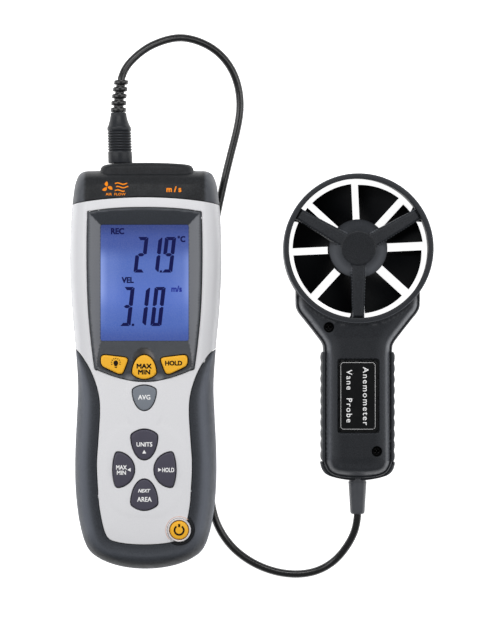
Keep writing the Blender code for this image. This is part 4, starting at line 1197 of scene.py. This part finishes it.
LEGENDS = (  # key, words, centre, height of the capitals, stretch
    ("hold_button", "HOLD", (14.5, 1.8), 2.2, 1.0),
    ("maxmin_button", "MAX", (0.0, 0.3), 2.3, 1.08),
    ("maxmin_button", "MIN", (0.0, -2.6), 2.3, 1.08),
    ("average_button", "AVG", (0.0, -15.0), 2.3, 0.95),
    ("units_button", "UNITS", (0.1, -38.2), 2.15, 0.95),
    ("left_button", "MAX", (-11.2, -49.5), 2.1, 0.84),
    ("left_button", "MIN", (-11.2, -52.1), 2.1, 0.9),
    ("right_button", "HOLD", (11.8, -50.75), 2.15, 0.72),
    ("area_button", "NEXT", (0.0, -61.0), 1.7, 0.92),
    ("area_button", "AREA", (0.1, -65.2), 2.35, 0.88),
)


def add_key(name, look):
    """One key with a crowned top, whose height function is returned for its legend."""
    outline = key_outline(name)
    top_height = BOWED_KEYS[name][5] if name in BOWED_KEYS else BEZEL_KEY_TOP
    centre = outline.mean(axis=0)
    reach = np.linalg.norm(outline - centre, axis=1).max()

    def crown(points):
        away = np.linalg.norm(points - centre, axis=1) / reach
        return top_height - 0.42 * np.clip(away, 0, 1.2) ** 2

    slot = {YELLOW: "yellow_key", GREY: "grey_key"}.get(look, "dark_key")
    plate(f"key_{name}", [outline], [], crown, level(KEY_FOOT), look, edge=0.75, spacing=0.9, body=name,
          stands_for=(name,), slot=slot)
    return crown


def triangle_sign(centre, size, heading):
    """A triangle that points this way."""
    angles = np.radians(heading + np.array((0, 120, 240)))
    return [(centre[0] + size * math.cos(a), centre[1] + size * math.sin(a)) for a in angles]


def lamp_sign(centre):
    """A light bulb with short rays round it."""
    x, y = centre
    bulb = [(x + 1.15 * math.cos(a), y + 1.25 * math.sin(a)) for a in np.radians(np.arange(-40, 221, 13))]
    shapes = [bulb + [(x - 0.6, y - 1.6), (x + 0.6, y - 1.6)]]
    shapes.append([(x - 0.55, y - 2.4), (x + 0.55, y - 2.4), (x + 0.55, y - 1.9), (x - 0.55, y - 1.9)])
    for angle in np.radians(np.arange(-20, 201, 27.5)):
        out = np.array((math.cos(angle), math.sin(angle)))
        side = np.array((-out[1], out[0])) * 0.19
        near, far = (np.array((x, y + 0.1)) + out * away for away in (1.8, 2.45))
        shapes.append([near - side, near + side, far + side, far - side])
    return shapes


def add_keys():
    yellow = ("maxmin_button", "light_button", "hold_button")
    looks = dict.fromkeys(yellow, YELLOW) | {"average_button": GREY}
    crowns = {name: add_key(name, looks.get(name, DARK_KEY)) for name in KEYS}
    for number, (key, words, centre, size, stretch) in enumerate(LEGENDS):
        look, bold = (DARK_INK, 0.13) if key in yellow else (WHITE_INK, 0.06)
        lettering(f"legend_{number}_{key}", words, centre, size, crowns[key], look, body=key, bold=bold,
                  stretch=stretch, lean=0.35 if words == "NEXT" else 0.0)
    signs = (
        ("units_button", triangle_sign((0, -42.1), 1.15, 90)),
        ("left_button", triangle_sign((-7.2, -50.7), 1.1, 180)),
        ("right_button", triangle_sign((7.4, -50.7), 1.1, 0)),
    )
    for key, shape in signs:
        raised_shapes(f"sign_{key}", [shape], crowns[key], 0.05, WHITE_INK, body=key, slot="dark_key")
    raised_shapes("sign_light_button", lamp_sign((-13.9, 1.9)), crowns["light_button"], 0.05, DARK_INK,
                  body="light_button", slot="yellow_key")
    add_power_key()


def add_power_key():
    """The round key, the ring in its recess, its sign and a painted highlight: a thin light arc round it."""
    x, y = POWER_CENTRE
    profile = [(0, 41.05), (1.5, 41.04), (3.0, 40.95), (3.9, 40.8), (4.35, 40.55), (4.55, 40.2),
               (POWER_RADIUS, 39.6), (POWER_RADIUS, KEY_FOOT), (0, KEY_FOOT)]
    lathe("key_power_button", profile, YELLOW, POWER_CENTRE, body="power_button",
          stands_for=("power_button",), slot="yellow_key")
    ring = [(4.9, 40.7), (5.05, 41.0), (5.3, 41.1), (5.6, 40.95), (POWER_RING, 40.6), (POWER_RING, 35.5),
            (4.9, 35.5)]
    lathe("power_key_ring", ring, RING, POWER_CENTRE, stands_for=("power_ring",), slot="key_ring")
    angles = np.radians(np.linspace(125, 415, 40))
    outer = [(x + 2.7 * math.cos(a), y + 2.7 * math.sin(a)) for a in angles]
    inner = [(x + 1.8 * math.cos(a), y + 1.8 * math.sin(a)) for a in angles[::-1]]
    bar = [(x - 0.5, y - 0.1), (x + 0.5, y - 0.1), (x + 0.5, y + 3.1), (x - 0.5, y + 3.1)]
    # Painted highlight: a thin light arc round the ring's upper and left side
    arc = [np.array((math.cos(a), math.sin(a))) for a in np.radians(np.linspace(50, 222, 50))]
    glow = [POWER_CENTRE + 6.75 * a for a in arc] + [POWER_CENTRE + 6.5 * a for a in arc[::-1]]
    raised_shapes("power_ring_painted_highlight", [glow], shell_face, 0.03, RING_PAINTED_HIGHLIGHT, slot="shell_plastic")
    raised_shapes("sign_power_button", [outer + inner, bar], level(40.98), 0.06, DARK_INK,
                  body="power_button", slot="yellow_key")


def add_cap_marks():
    """A small fan sign with air lines at the left and a unit at the right."""
    x, y = -18.4, 88.6
    shapes = []
    for blade in range(3):
        turn = math.radians(90 + 120 * blade)
        outline = [(2.9 * t, 1.15 * math.sin(math.pi * t) + 0.25 * t) for t in np.linspace(0.12, 1, 9)]
        outline += [(2.9 * t, -0.35 * math.sin(math.pi * t)) for t in np.linspace(1, 0.12, 7)[1:]]
        ahead, side = math.cos(turn), math.sin(turn)
        shapes.append([(x + a * ahead - b * side, y + a * side + b * ahead) for a, b in outline])
    for row, (start, end) in enumerate(((-14.6, -8.6), (-14.0, -8.0), (-14.6, -9.8))):
        level_y = 90.3 - 1.75 * row
        wave = [(u, level_y + 0.35 * math.sin((u + 14.6) * 1.15)) for u in np.linspace(start, end, 15)]
        shapes.append([(u, v + 0.3) for u, v in wave] + [(u, v - 0.3) for u, v in reversed(wave)])
    raised_shapes("cap_mark", shapes, front_height, 0.13, ORANGE_INK, slot="cap_plastic")
    lettering("cap_words", "AIR  FLOW", (-14.2, 85.0), 1.25, front_height, ORANGE_INK, bold=0.03,
              stretch=1.15, thick=0.1, slot="cap_plastic")
    lettering("cap_unit", "m / s", (14.5, 87.5), 2.7, front_height, ORANGE_INK, bold=0.14, slot="cap_plastic")


# Back of the meter


WELL_RADIUS = 2.8


def rear_ring(height):
    """The line round the case's back at this height."""
    inset = np.interp(height, REAR[1][::-1], REAR[0][::-1])
    return CASE_CENTRE + CASE_AWAY * (1 - inset / CASE_HALF)


def add_rear_shell():
    grip = grip_region(GAP)
    grip_foot = rear_ring(REAR_GRIP_FOOT - 0.2)
    cap = cap_region(-HALF_GAP)
    door = rounded_rectangle(*DOOR_BAY, 2.2)
    stand = rounded_rectangle(*STAND_BAY, 1.6)
    wells = [circle(post, WELL_RADIUS, 28) for post in CASE_POSTS[2:] + CASE_POSTS[:2]]
    shell = region([CASE_OUTLINE], [cap, door, stand, *wells])

    def inside(points):
        """The shell reaches down over the grip's place on its flat back."""
        return shell(points) & (~within(points, grip) | within(points, grip_foot))

    plate("back_panel", [CASE_OUTLINE], [cap, grip, grip_foot, door, stand, *wells], rear_height,
          wall_back(rear_height, -WALL, PARTING - HALF_GAP), SHELL, inside=inside, edge=0.4,
          extra=CASE_RINGS, up=-1, stands_for=("rear_shell",), slot="shell_plastic")
    bay = rounded_rectangle(np.add(STAND_BAY[0], 0.02), np.subtract(STAND_BAY[1], 0.02), 1.6)
    plate("stand_bay_roof", [bay], [], level(3.9), level(6.0), SHELL, edge=0.15, spacing=3, up=-1,
          slot="shell_plastic")


def add_rear_grip():
    def height(points):
        inset = case_inset(points)
        groove = np.clip(1 - np.abs(inset - 5.6) / 0.5, 0, 1)
        return np.interp(inset, *REAR) + 0.5 * groove

    plate("grip_rear", [CASE_OUTLINE, grip_region(0)], [rear_ring(REAR_GRIP_FOOT)], height,
          wall_back(rear_height, -GRIP_WALL, PARTING - HALF_GAP), GRIP_REAR, edge=0.45,
          extra=CASE_RINGS, up=-1, stands_for=("rear_grip",), slot="grip_rubber")


def add_back_fittings():
    """The battery door, the tilt stand and the screws."""
    (left, bottom), (right, high) = DOOR_BAY
    outline = rounded_rectangle((left + GAP, bottom + GAP), (right - GAP, high - GAP), 2)
    well = circle(DOOR_SCREW, WELL_RADIUS, 32)

    def door_face(points):
        """Finger ridges near the lower end and a shallow frame all round."""
        rib = np.cos((points[:, 1] + 66) * math.tau / 2.2)
        near = (np.abs(points[:, 0]) < 9) & (np.abs(points[:, 1] + 66) < 6.6)
        frame_depth = np.clip(1.6 - np.abs(distance_to(points, outline) - 3.0) * 2.4, 0, 1)
        return 0.42 - 0.35 * np.clip(rib * 1.6, 0, 1) * near + 0.22 * frame_depth

    plate("door_cover", [outline], [well], door_face, level(2.4), SHELL, edge=0.4, spacing=0.7, up=-1,
          body="battery_door", stands_for=("battery_door",), slot="shell_plastic")
    (left, bottom), (right, _) = STAND_BAY
    shape = rounded_rectangle((left + 0.5, bottom + 1.5), (right - 0.5, STAND_HINGE_Y + 1.2), 1.6)
    slot = rounded_rectangle((-9, 22), (9, 48), 3)
    notch = circle((0, bottom + 1.0), 6.0, 32)

    def stand_face(points):
        rib = np.clip(1.5 - np.abs(np.abs(points[:, 0]) - 13) * 1.6, 0, 1)
        tread = np.clip(np.cos((points[:, 1] - 10) * math.tau / 1.8) * 1.5, 0, 1) * (points[:, 1] < 18)
        return 0.75 - 0.3 * rib * (points[:, 1] > 19) - 0.2 * tread * (points[:, 1] > 12.5)

    plate("stand_leg", [shape], [slot, notch], stand_face, level(2.9), GRIP_REAR, edge=0.4, spacing=0.8,
          up=-1, body="tilt_stand", stands_for=("tilt_stand",), slot="grip_rubber")
    for number, centre in enumerate(CASE_POSTS, 1):
        add_screw(f"case_screw_head_{number}", centre, 2.4, 6.9, 8.9, f"case_screw_{number}", up=-1)
    add_screw("door_screw_head", DOOR_SCREW, 2.35, 0.7, 1.9, "battery_door_screw", body="battery_door", up=-1)


def add_screw(name, centre, radius, face, under, node, body="case", up=1, look=STEEL):
    """A domed screw head with a cross recess."""
    rim = circle(centre, radius, 40)
    arm, half = 0.62 * radius, 0.17 * radius
    arms = [(half, -arm), (half, -half), (arm, -half), (arm, half), (half, half), (half, arm), (-half, arm),
            (-half, half), (-arm, half), (-arm, -half), (-half, -half), (-half, -arm)]
    cross = counter_clockwise(np.array(arms) + centre)

    def dome(points):
        away = np.linalg.norm(points - np.array(centre), axis=1) / radius
        depth = np.clip(distance_to(points, cross) / 0.25, 0, 1) * within(points, cross)
        return face - up * 0.35 * away**2 - up * 0.9 * depth

    plate(name, [rim], [cross], dome, level(under), look, inside=region([rim]), edge=0.2, spacing=0.35,
          up=up, body=body, stands_for=(node,), slot="steel")


# Probe


def probe_loop(side):
    """The handle's outline from the points down its right side, mirrored to its left."""
    x, y = side[1]
    right = smooth([(-x, y)] + side, 5)[5:]
    return counter_clockwise(np.vstack([right, (right * (-1, 1))[-1:0:-1]])) + (PROBE_X, 0)


PROBE_LOOP = probe_loop(PROBE_EDGE)
FACE_LOOP = probe_loop(FACE_FOOT + PROBE_EDGE[FACE_JOINS_EDGE:])
PROBE_FACE = np.array([  # distance inside the edge of the raised face, and the height there
    (-4, 13.4), (-2.2, 14.6), (-1.2, 16.2), (-0.4, 16.8), (-0.1, 16.4), (0.1, 16.6), (0.35, 17.9),
    (0.7, 18.6), (0.95, 18.4), (1.15, 18.1), (1.4, 18.3), (1.8, 19.6), (2.5, 21.4), (3.3, 22.8),
    (4.0, 23.5), (4.8, 23.8), (6, 23.9), (40, 23.9),
])
# Distances inside that edge at which the face has rows of points
FACE_ROWS = (-1.2, -0.7, -0.4, -0.1, 0.1, 0.35, 0.55, 0.75, 0.95, 1.2, 1.5, 1.8, 2.1, 2.5, 2.9, 3.3, 3.8, 4.3,
             4.8, 5.4, 6.2)


def face_depth(points):
    """Distance inside the edge of the handle's raised face, negative outside it."""
    return np.where(within(points, FACE_LOOP), 1, -1) * distance_to(points, FACE_LOOP)


def probe_share(points):
    """How much of its height the handle has: it is a little lower at its foot."""
    return np.interp(points[:, 1], [-59.5, -57, -52, -46], [0.80, 0.88, 0.97, 1])


def probe_front(points):
    """The handle's face: higher where it runs up to the ring, with a groove along the ring."""
    depth = face_depth(points)
    height = np.interp(depth, *PROBE_FACE.T)
    lift = np.clip((points[:, 1] - 14) / 9, 0, 1)
    from_ring = np.linalg.norm(points - RING_CENTRE, axis=1) - RING_RADIUS
    height += 0.7 * lift * np.clip(depth / 6 - 0.3, 0, 1)
    height -= 0.35 * np.clip(1 - np.abs(from_ring - 0.9) / 0.8, 0, 1)
    return PROBE_PARTING + (height - PROBE_PARTING) * probe_share(points)


def probe_back(points):
    depth = distance_to(points, PROBE_LOOP)
    height = np.interp(depth, [0, 0.6, 1.6, 3.2, 5.0, 40], [6.5, 3.9, 2.0, 0.75, 0.15, 0.1])
    return PROBE_PARTING + (height - PROBE_PARTING) * probe_share(points)


def probe_rings():
    """Rows of points along the edge of the raised face."""
    return [grown(FACE_LOOP, -depth) for depth in FACE_ROWS]


def add_probe_shells():
    seat = circle(RING_CENTRE, RING_RADIUS - 0.1, 160)
    recess = rounded_rectangle(LABEL_LOW - 0.4 + (PROBE_X, 0), LABEL_HIGH + 0.4 + (PROBE_X, 0), 0.9)
    wells = [circle((PROBE_X + x, y), 2.6, 40) for x, y in PROBE_SCREWS]

    def painted_shading(points):
        """Painted highlight: the bevel round the handle and the rim's edge are lighter than its face."""
        depth = face_depth(points)
        bevel_highlight = np.interp(depth, [-3, -1, -0.2, 0.1, 0.4, 0.7, 1.0, 1.4, 1.9, 3.0, 4.2, 9],
                          [0.35, 0.25, 0.0, 0.1, 0.5, 0.25, 0.0, 0.05, 0.75, 0.65, 0.15, 0.03])
        from_ring = np.linalg.norm(points - RING_CENTRE, axis=1) - RING_RADIUS
        foot = np.interp(points[:, 1], [-60, -52, -45, 60], [0.5, 0.5, 1, 1])
        return bevel_highlight * foot * np.clip(from_ring / 3, 0.2, 1)

    plate("handle_front", [PROBE_LOOP], [seat, recess, *wells], probe_front,
          wall_back(probe_front, PROBE_WALL, PROBE_PARTING + HALF_GAP), PROBE, extra=probe_rings(),
          spacing=1.4, painted_shading=painted_shading, stands_for=("probe_front_shell",), slot="probe_plastic")
    floor = rounded_rectangle(LABEL_LOW - 0.37 + (PROBE_X, 0), LABEL_HIGH + 0.37 + (PROBE_X, 0), 0.9)
    plate("label_recess_floor", [floor], [], level(LABEL_FLOOR), level(18), PROBE, edge=0.1, spacing=3,
          slot="probe_plastic")
    plate("handle_rear", [PROBE_LOOP], [seat], probe_back, level(PROBE_PARTING - HALF_GAP), PROBE,
          extra=probe_rings(), spacing=1.6, up=-1, stands_for=("probe_rear_shell",), slot="probe_plastic")
    for number, (x, y) in enumerate(PROBE_SCREWS, 1):
        add_screw(f"handle_screw_{number}", (PROBE_X + x, y), 2.45, 20.3, 18.2, f"probe_screw_{number}",
                  look=BLACK)


def add_label():
    """The label's film with a thin frame and two lines of words, which read down the handle."""
    low, high = LABEL_LOW + (PROBE_X, 0), LABEL_HIGH + (PROBE_X, 0)
    loop = rounded_rectangle(low, high, 1.6)
    plate("label", [loop], [], level(LABEL_FACE), level(LABEL_FLOOR + 0.05), LABEL, edge=0.12, spacing=3,
          stands_for=("label_plate",), slot="label")
    outer = rounded_rectangle(low + (1.1, 1.4), high - (1.5, 1.2), 1.5)
    inner = rounded_rectangle(low + (1.24, 1.54), high - (1.64, 1.34), 1.36)
    plate("label_frame", [outer], [inner], level(LABEL_FACE + 0.05), level(LABEL_FACE - 0.05), WHITE_INK,
          edge=0.02, spacing=2, slot="label")
    lines = (("Anemometer", 3.6, 1.1), ("Vane  Probe", -4.6, 1.05))
    for number, (words, x, stretch) in enumerate(lines, 1):
        lettering(f"label_words_{number}", words, (PROBE_X + x, -15.0), 2.9, level(LABEL_FACE + 0.01),
                  WHITE_INK, turn=-90, bold=0.02, stretch=stretch, spaced=1.25, slot="label")


def add_side_grips():
    """A rubber strip down each side, with shallow scallops between its ribs."""
    low, high, ribs = -48.0, 6.9, 10
    foot, top, inner = 3.0, 20.0, 16.7
    ys = np.linspace(low, high, 181)
    zs = np.concatenate([[foot], np.linspace(foot + 0.25, top - 0.25, 12), [top]])
    for name, side in (("left", -1), ("right", 1)):
        rows = []
        for z in zs:
            edge = min(z - foot, top - z)
            ends = np.clip(np.minimum(ys - low, high - ys) / 0.8, 0, 1)
            wave = 0.45 * np.abs(np.sin((ys - low) * math.pi * ribs / (high - low)))
            out = 17.75 + (wave + 0.3) * min(1, edge / 2.5) * ends + 0.1 * ends
            rows.append(np.column_stack([PROBE_X + side * out, ys, np.full(len(ys), z)]))
        for z in zs[::-1]:
            rows.append(np.column_stack([np.full(len(ys), PROBE_X + side * inner), ys, np.full(len(ys), z)]))
        points = np.vstack(rows)
        count = len(ys)
        faces = skin(len(rows), count, True, rings=False)
        for end in (0, count - 1):
            faces.append(tuple(row * count + end for row in range(len(rows))))
        face_outward(add_piece(f"side_grip_{name}", points, faces, PROBE_GRIP, angle=50,
                               stands_for=(f"{name}_side_grip",), slot="probe_rubber"))


def add_head():
    """The vane's ring with a strut guard in each end."""
    profile = [(34.8, 25.0), (35.0, 25.15), (35.3, 25.2), (36.9, 25.2), (37.2, 25.1), (37.45, 24.8),
               (RING_RADIUS, 24.4), (RING_RADIUS, 1.2), (37.4, 0.6), (37.1, 0.2), (36.8, 0.05), (36.2, 0.05),
               (36.0, 0.2), (35.95, 0.6), (34.75, 24.6)]
    ring = lathe("head_ring", profile, PROBE, RING_CENTRE, steps=192, stands_for=("vane_ring",),
                 slot="probe_plastic")

    def painted_shading(places):
        """Painted highlight: a lighter outer edge on the rim."""
        radius = np.linalg.norm(places[:, :2] - RING_CENTRE, axis=1)
        return np.where(places[:, 2] > 20, np.clip((radius - 36.9) / 0.6, 0, 0.4) + 0.08, 0.1)

    add_painted_shading(ring, painted_shading)
    add_guard("guard_front", "front_guard", 1)
    add_guard("guard_rear", "rear_guard", -1)


def strut_loop(angle, root, reach, flare):
    """One strut's outline: wide and filleted at the hub, slimmer outwards, with a foot at the ring."""
    places = [(root, 3.3), (root + 0.8, 3.9), (root + 2.2, 3.9), (14, 3.75), (20, 3.5), (26, 3.35),
              (31, 3.05), (33.4, 3.0), (reach, flare)]
    side = smooth(places, 4)
    loop = np.vstack([side, (side * (1, -1))[::-1]])
    turn = math.radians(angle)
    spin = np.array(((math.cos(turn), math.sin(turn)), (-math.sin(turn), math.cos(turn))))
    return counter_clockwise(loop @ spin + RING_CENTRE)


def add_guard(name, node, up):
    """A hub with three struts: in front a disc on a cone, behind a plain dished disc."""
    hub = circle(RING_CENTRE, HUB_RADIUS, 120)
    reach, flare = (34.72, 3.1) if up > 0 else (35.6, 4.4)
    struts = [strut_loop(angle, STRUT_ROOT, reach, flare) for angle in STRUT_ANGLES]

    def inside(points):
        return np.any([within(points, loop) for loop in (hub, *struts)], axis=0)

    def strut_depth(points):
        """Distance inside the edge of a strut, and 0 outside them."""
        depths = [np.where(within(points, loop), distance_to(points, loop), 0) for loop in struts]
        return np.max(depths, axis=0)

    def height(points):
        radius = np.linalg.norm(points - RING_CENTRE, axis=1)
        depth = strut_depth(points)
        if up > 0:
            cone = np.interp(radius, [0, 8.1, 8.6, 9.2, 14.2, 14.7, 40],
                             [24.75, 24.85, 24.7, 24.2, 19.4, 18.9, 18.0])
            bar = np.interp(depth, [0, 0.02, 0.45, 0.9, 1.3, 9], [18, 22.9, 23.9, 24.45, 24.6, 24.6])
            bar -= 0.9 * np.clip((radius - 16) / 18, 0, 1)
            return np.where(depth > 0, np.maximum(cone, bar), cone)
        return np.interp(radius, [0, 6, 13.2, 14.7, 40], [0.9, 0.55, 0.15, 0.3, 0.3])

    def painted_shading(points):
        """Painted highlights: a light line just inside the struts' edges, and a lighter cone, more towards
        its lower side.
        """
        radius = np.linalg.norm(points - RING_CENTRE, axis=1)
        depth = strut_depth(points)
        line = np.clip(1 - np.abs(depth - 0.32) / 0.3, 0, 1) * np.clip((radius - 8.9) / 1.2, 0, 1)
        cone = np.interp(radius, [8.4, 8.8, 12, 14.2, 14.7], [0.0, 0.25, 0.6, 0.45, 0.1]) * (depth == 0)
        cone *= np.clip(0.85 - 0.05 * (points[:, 1] - RING_CENTRE[1]), 0.3, 1.6)
        return np.clip(np.where((depth > 0) & (radius > 8.7), 0.95 * line + 0.05, cone), 0, 1)

    radii = (8.0, 8.3, 8.6, 9.0, 10.3, 11.6, 13, 14.0)
    rings = [circle(RING_CENTRE, radius, int(radius * 9)) for radius in radii]
    for loop in struts:
        rings += [grown(loop, -depth) for depth in (0.15, 0.32, 0.5, 0.7, 0.9, 1.3)]
    plate(name, [hub, *struts], [], height, level(18.6 if up > 0 else 4.4), PROBE, inside=inside, edge=0.3,
          spacing=0.7, extra=rings, up=up, painted_shading=painted_shading, stands_for=(node,), slot="probe_plastic")


def add_impeller():
    """Eight twisted blades with thin outer edges, on a closed hub."""
    points, faces = [], []
    span = math.tau / BLADES
    rows, columns = 13, 8
    for blade in range(BLADES):
        base = len(points)
        for face in (1, -1):
            for share in np.linspace(0, 1, rows):
                for radius in np.linspace(BLADE_ROOT, BLADE_TIP, columns):
                    slit = math.asin(BLADE_SLIT / radius)
                    angle = math.radians(BLADE_TURN) + blade * span + slit + share * (span - 2 * slit)
                    camber = 0.5 * math.sin(math.pi * share)
                    belly = math.sin(math.pi * min(1, max(0, share))) ** 0.6
                    thick = BLADE_THICK * (0.35 + 0.65 * belly) / 2
                    height = BLADE_MID + BLADE_RISE * (1 - 2 * share) + camber + face * thick
                    points.append((RING_CENTRE[0] + radius * math.cos(angle),
                                   RING_CENTRE[1] + radius * math.sin(angle), height))
        sheet = rows * columns
        for row in range(rows - 1):
            for column in range(columns - 1):
                a = base + row * columns + column
                quad = (a, a + 1, a + columns + 1, a + columns)
                faces += [quad, tuple(i + sheet for i in reversed(quad))]
        edge = [r * columns for r in range(rows)] + [(rows - 1) * columns + c for c in range(1, columns)]
        edge += [r * columns + columns - 1 for r in range(rows - 2, -1, -1)] + list(range(columns - 2, 0, -1))
        for here, there in zip(edge, edge[1:] + edge[:1]):
            faces.append((base + here, base + there, base + there + sheet, base + here + sheet))
    face_outward(add_piece("impeller_blades", points, faces, VANE, body="impeller", stands_for=("impeller",),
                           slot="black_plastic", angle=40))
    hub = [(0, 18.2), (9, 18.2), (11.6, 18.1), (12.4, 17.6), (12.6, 16.8), (12.6, 7.6), (12.3, 6.9),
           (11.5, 6.6), (0, 6.6)]
    lathe("impeller_hub", hub, BLACK, RING_CENTRE, body="impeller", stands_for=("impeller",),
          slot="black_plastic")


def repaint():
    """Better materials for the CAD nodes that keep their own shape."""
    looks = {"main_pcb": BOARD, "pickup_board": BOARD, "keypad_membrane": MEMBRANE, "battery": BATTERY,
             "battery_clip": BLACK, "lcd_backlight": BACKLIGHT, "stand_pin": STEEL, "axle": STEEL,
             "front_bearing": BRASS, "rear_bearing": BRASS, "pickup_coil": BRASS, "thermistor": JACKET}
    for name, look in looks.items():
        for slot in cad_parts[name].material_slots:
            slot.material = look


def main():
    add_camera()
    cord, length = add_cord()
    plug, sleeve = add_plug()
    relief = add_probe_relief()
    add_studio()
    add_floor()
    repaint()
    add_front_shell()
    add_front_grip()
    add_cap()
    add_bezel()
    add_display()
    add_keys()
    add_cap_marks()
    add_rear_shell()
    add_rear_grip()
    add_back_fittings()
    add_probe_shells()
    add_label()
    add_side_grips()
    add_head()
    add_impeller()


main()
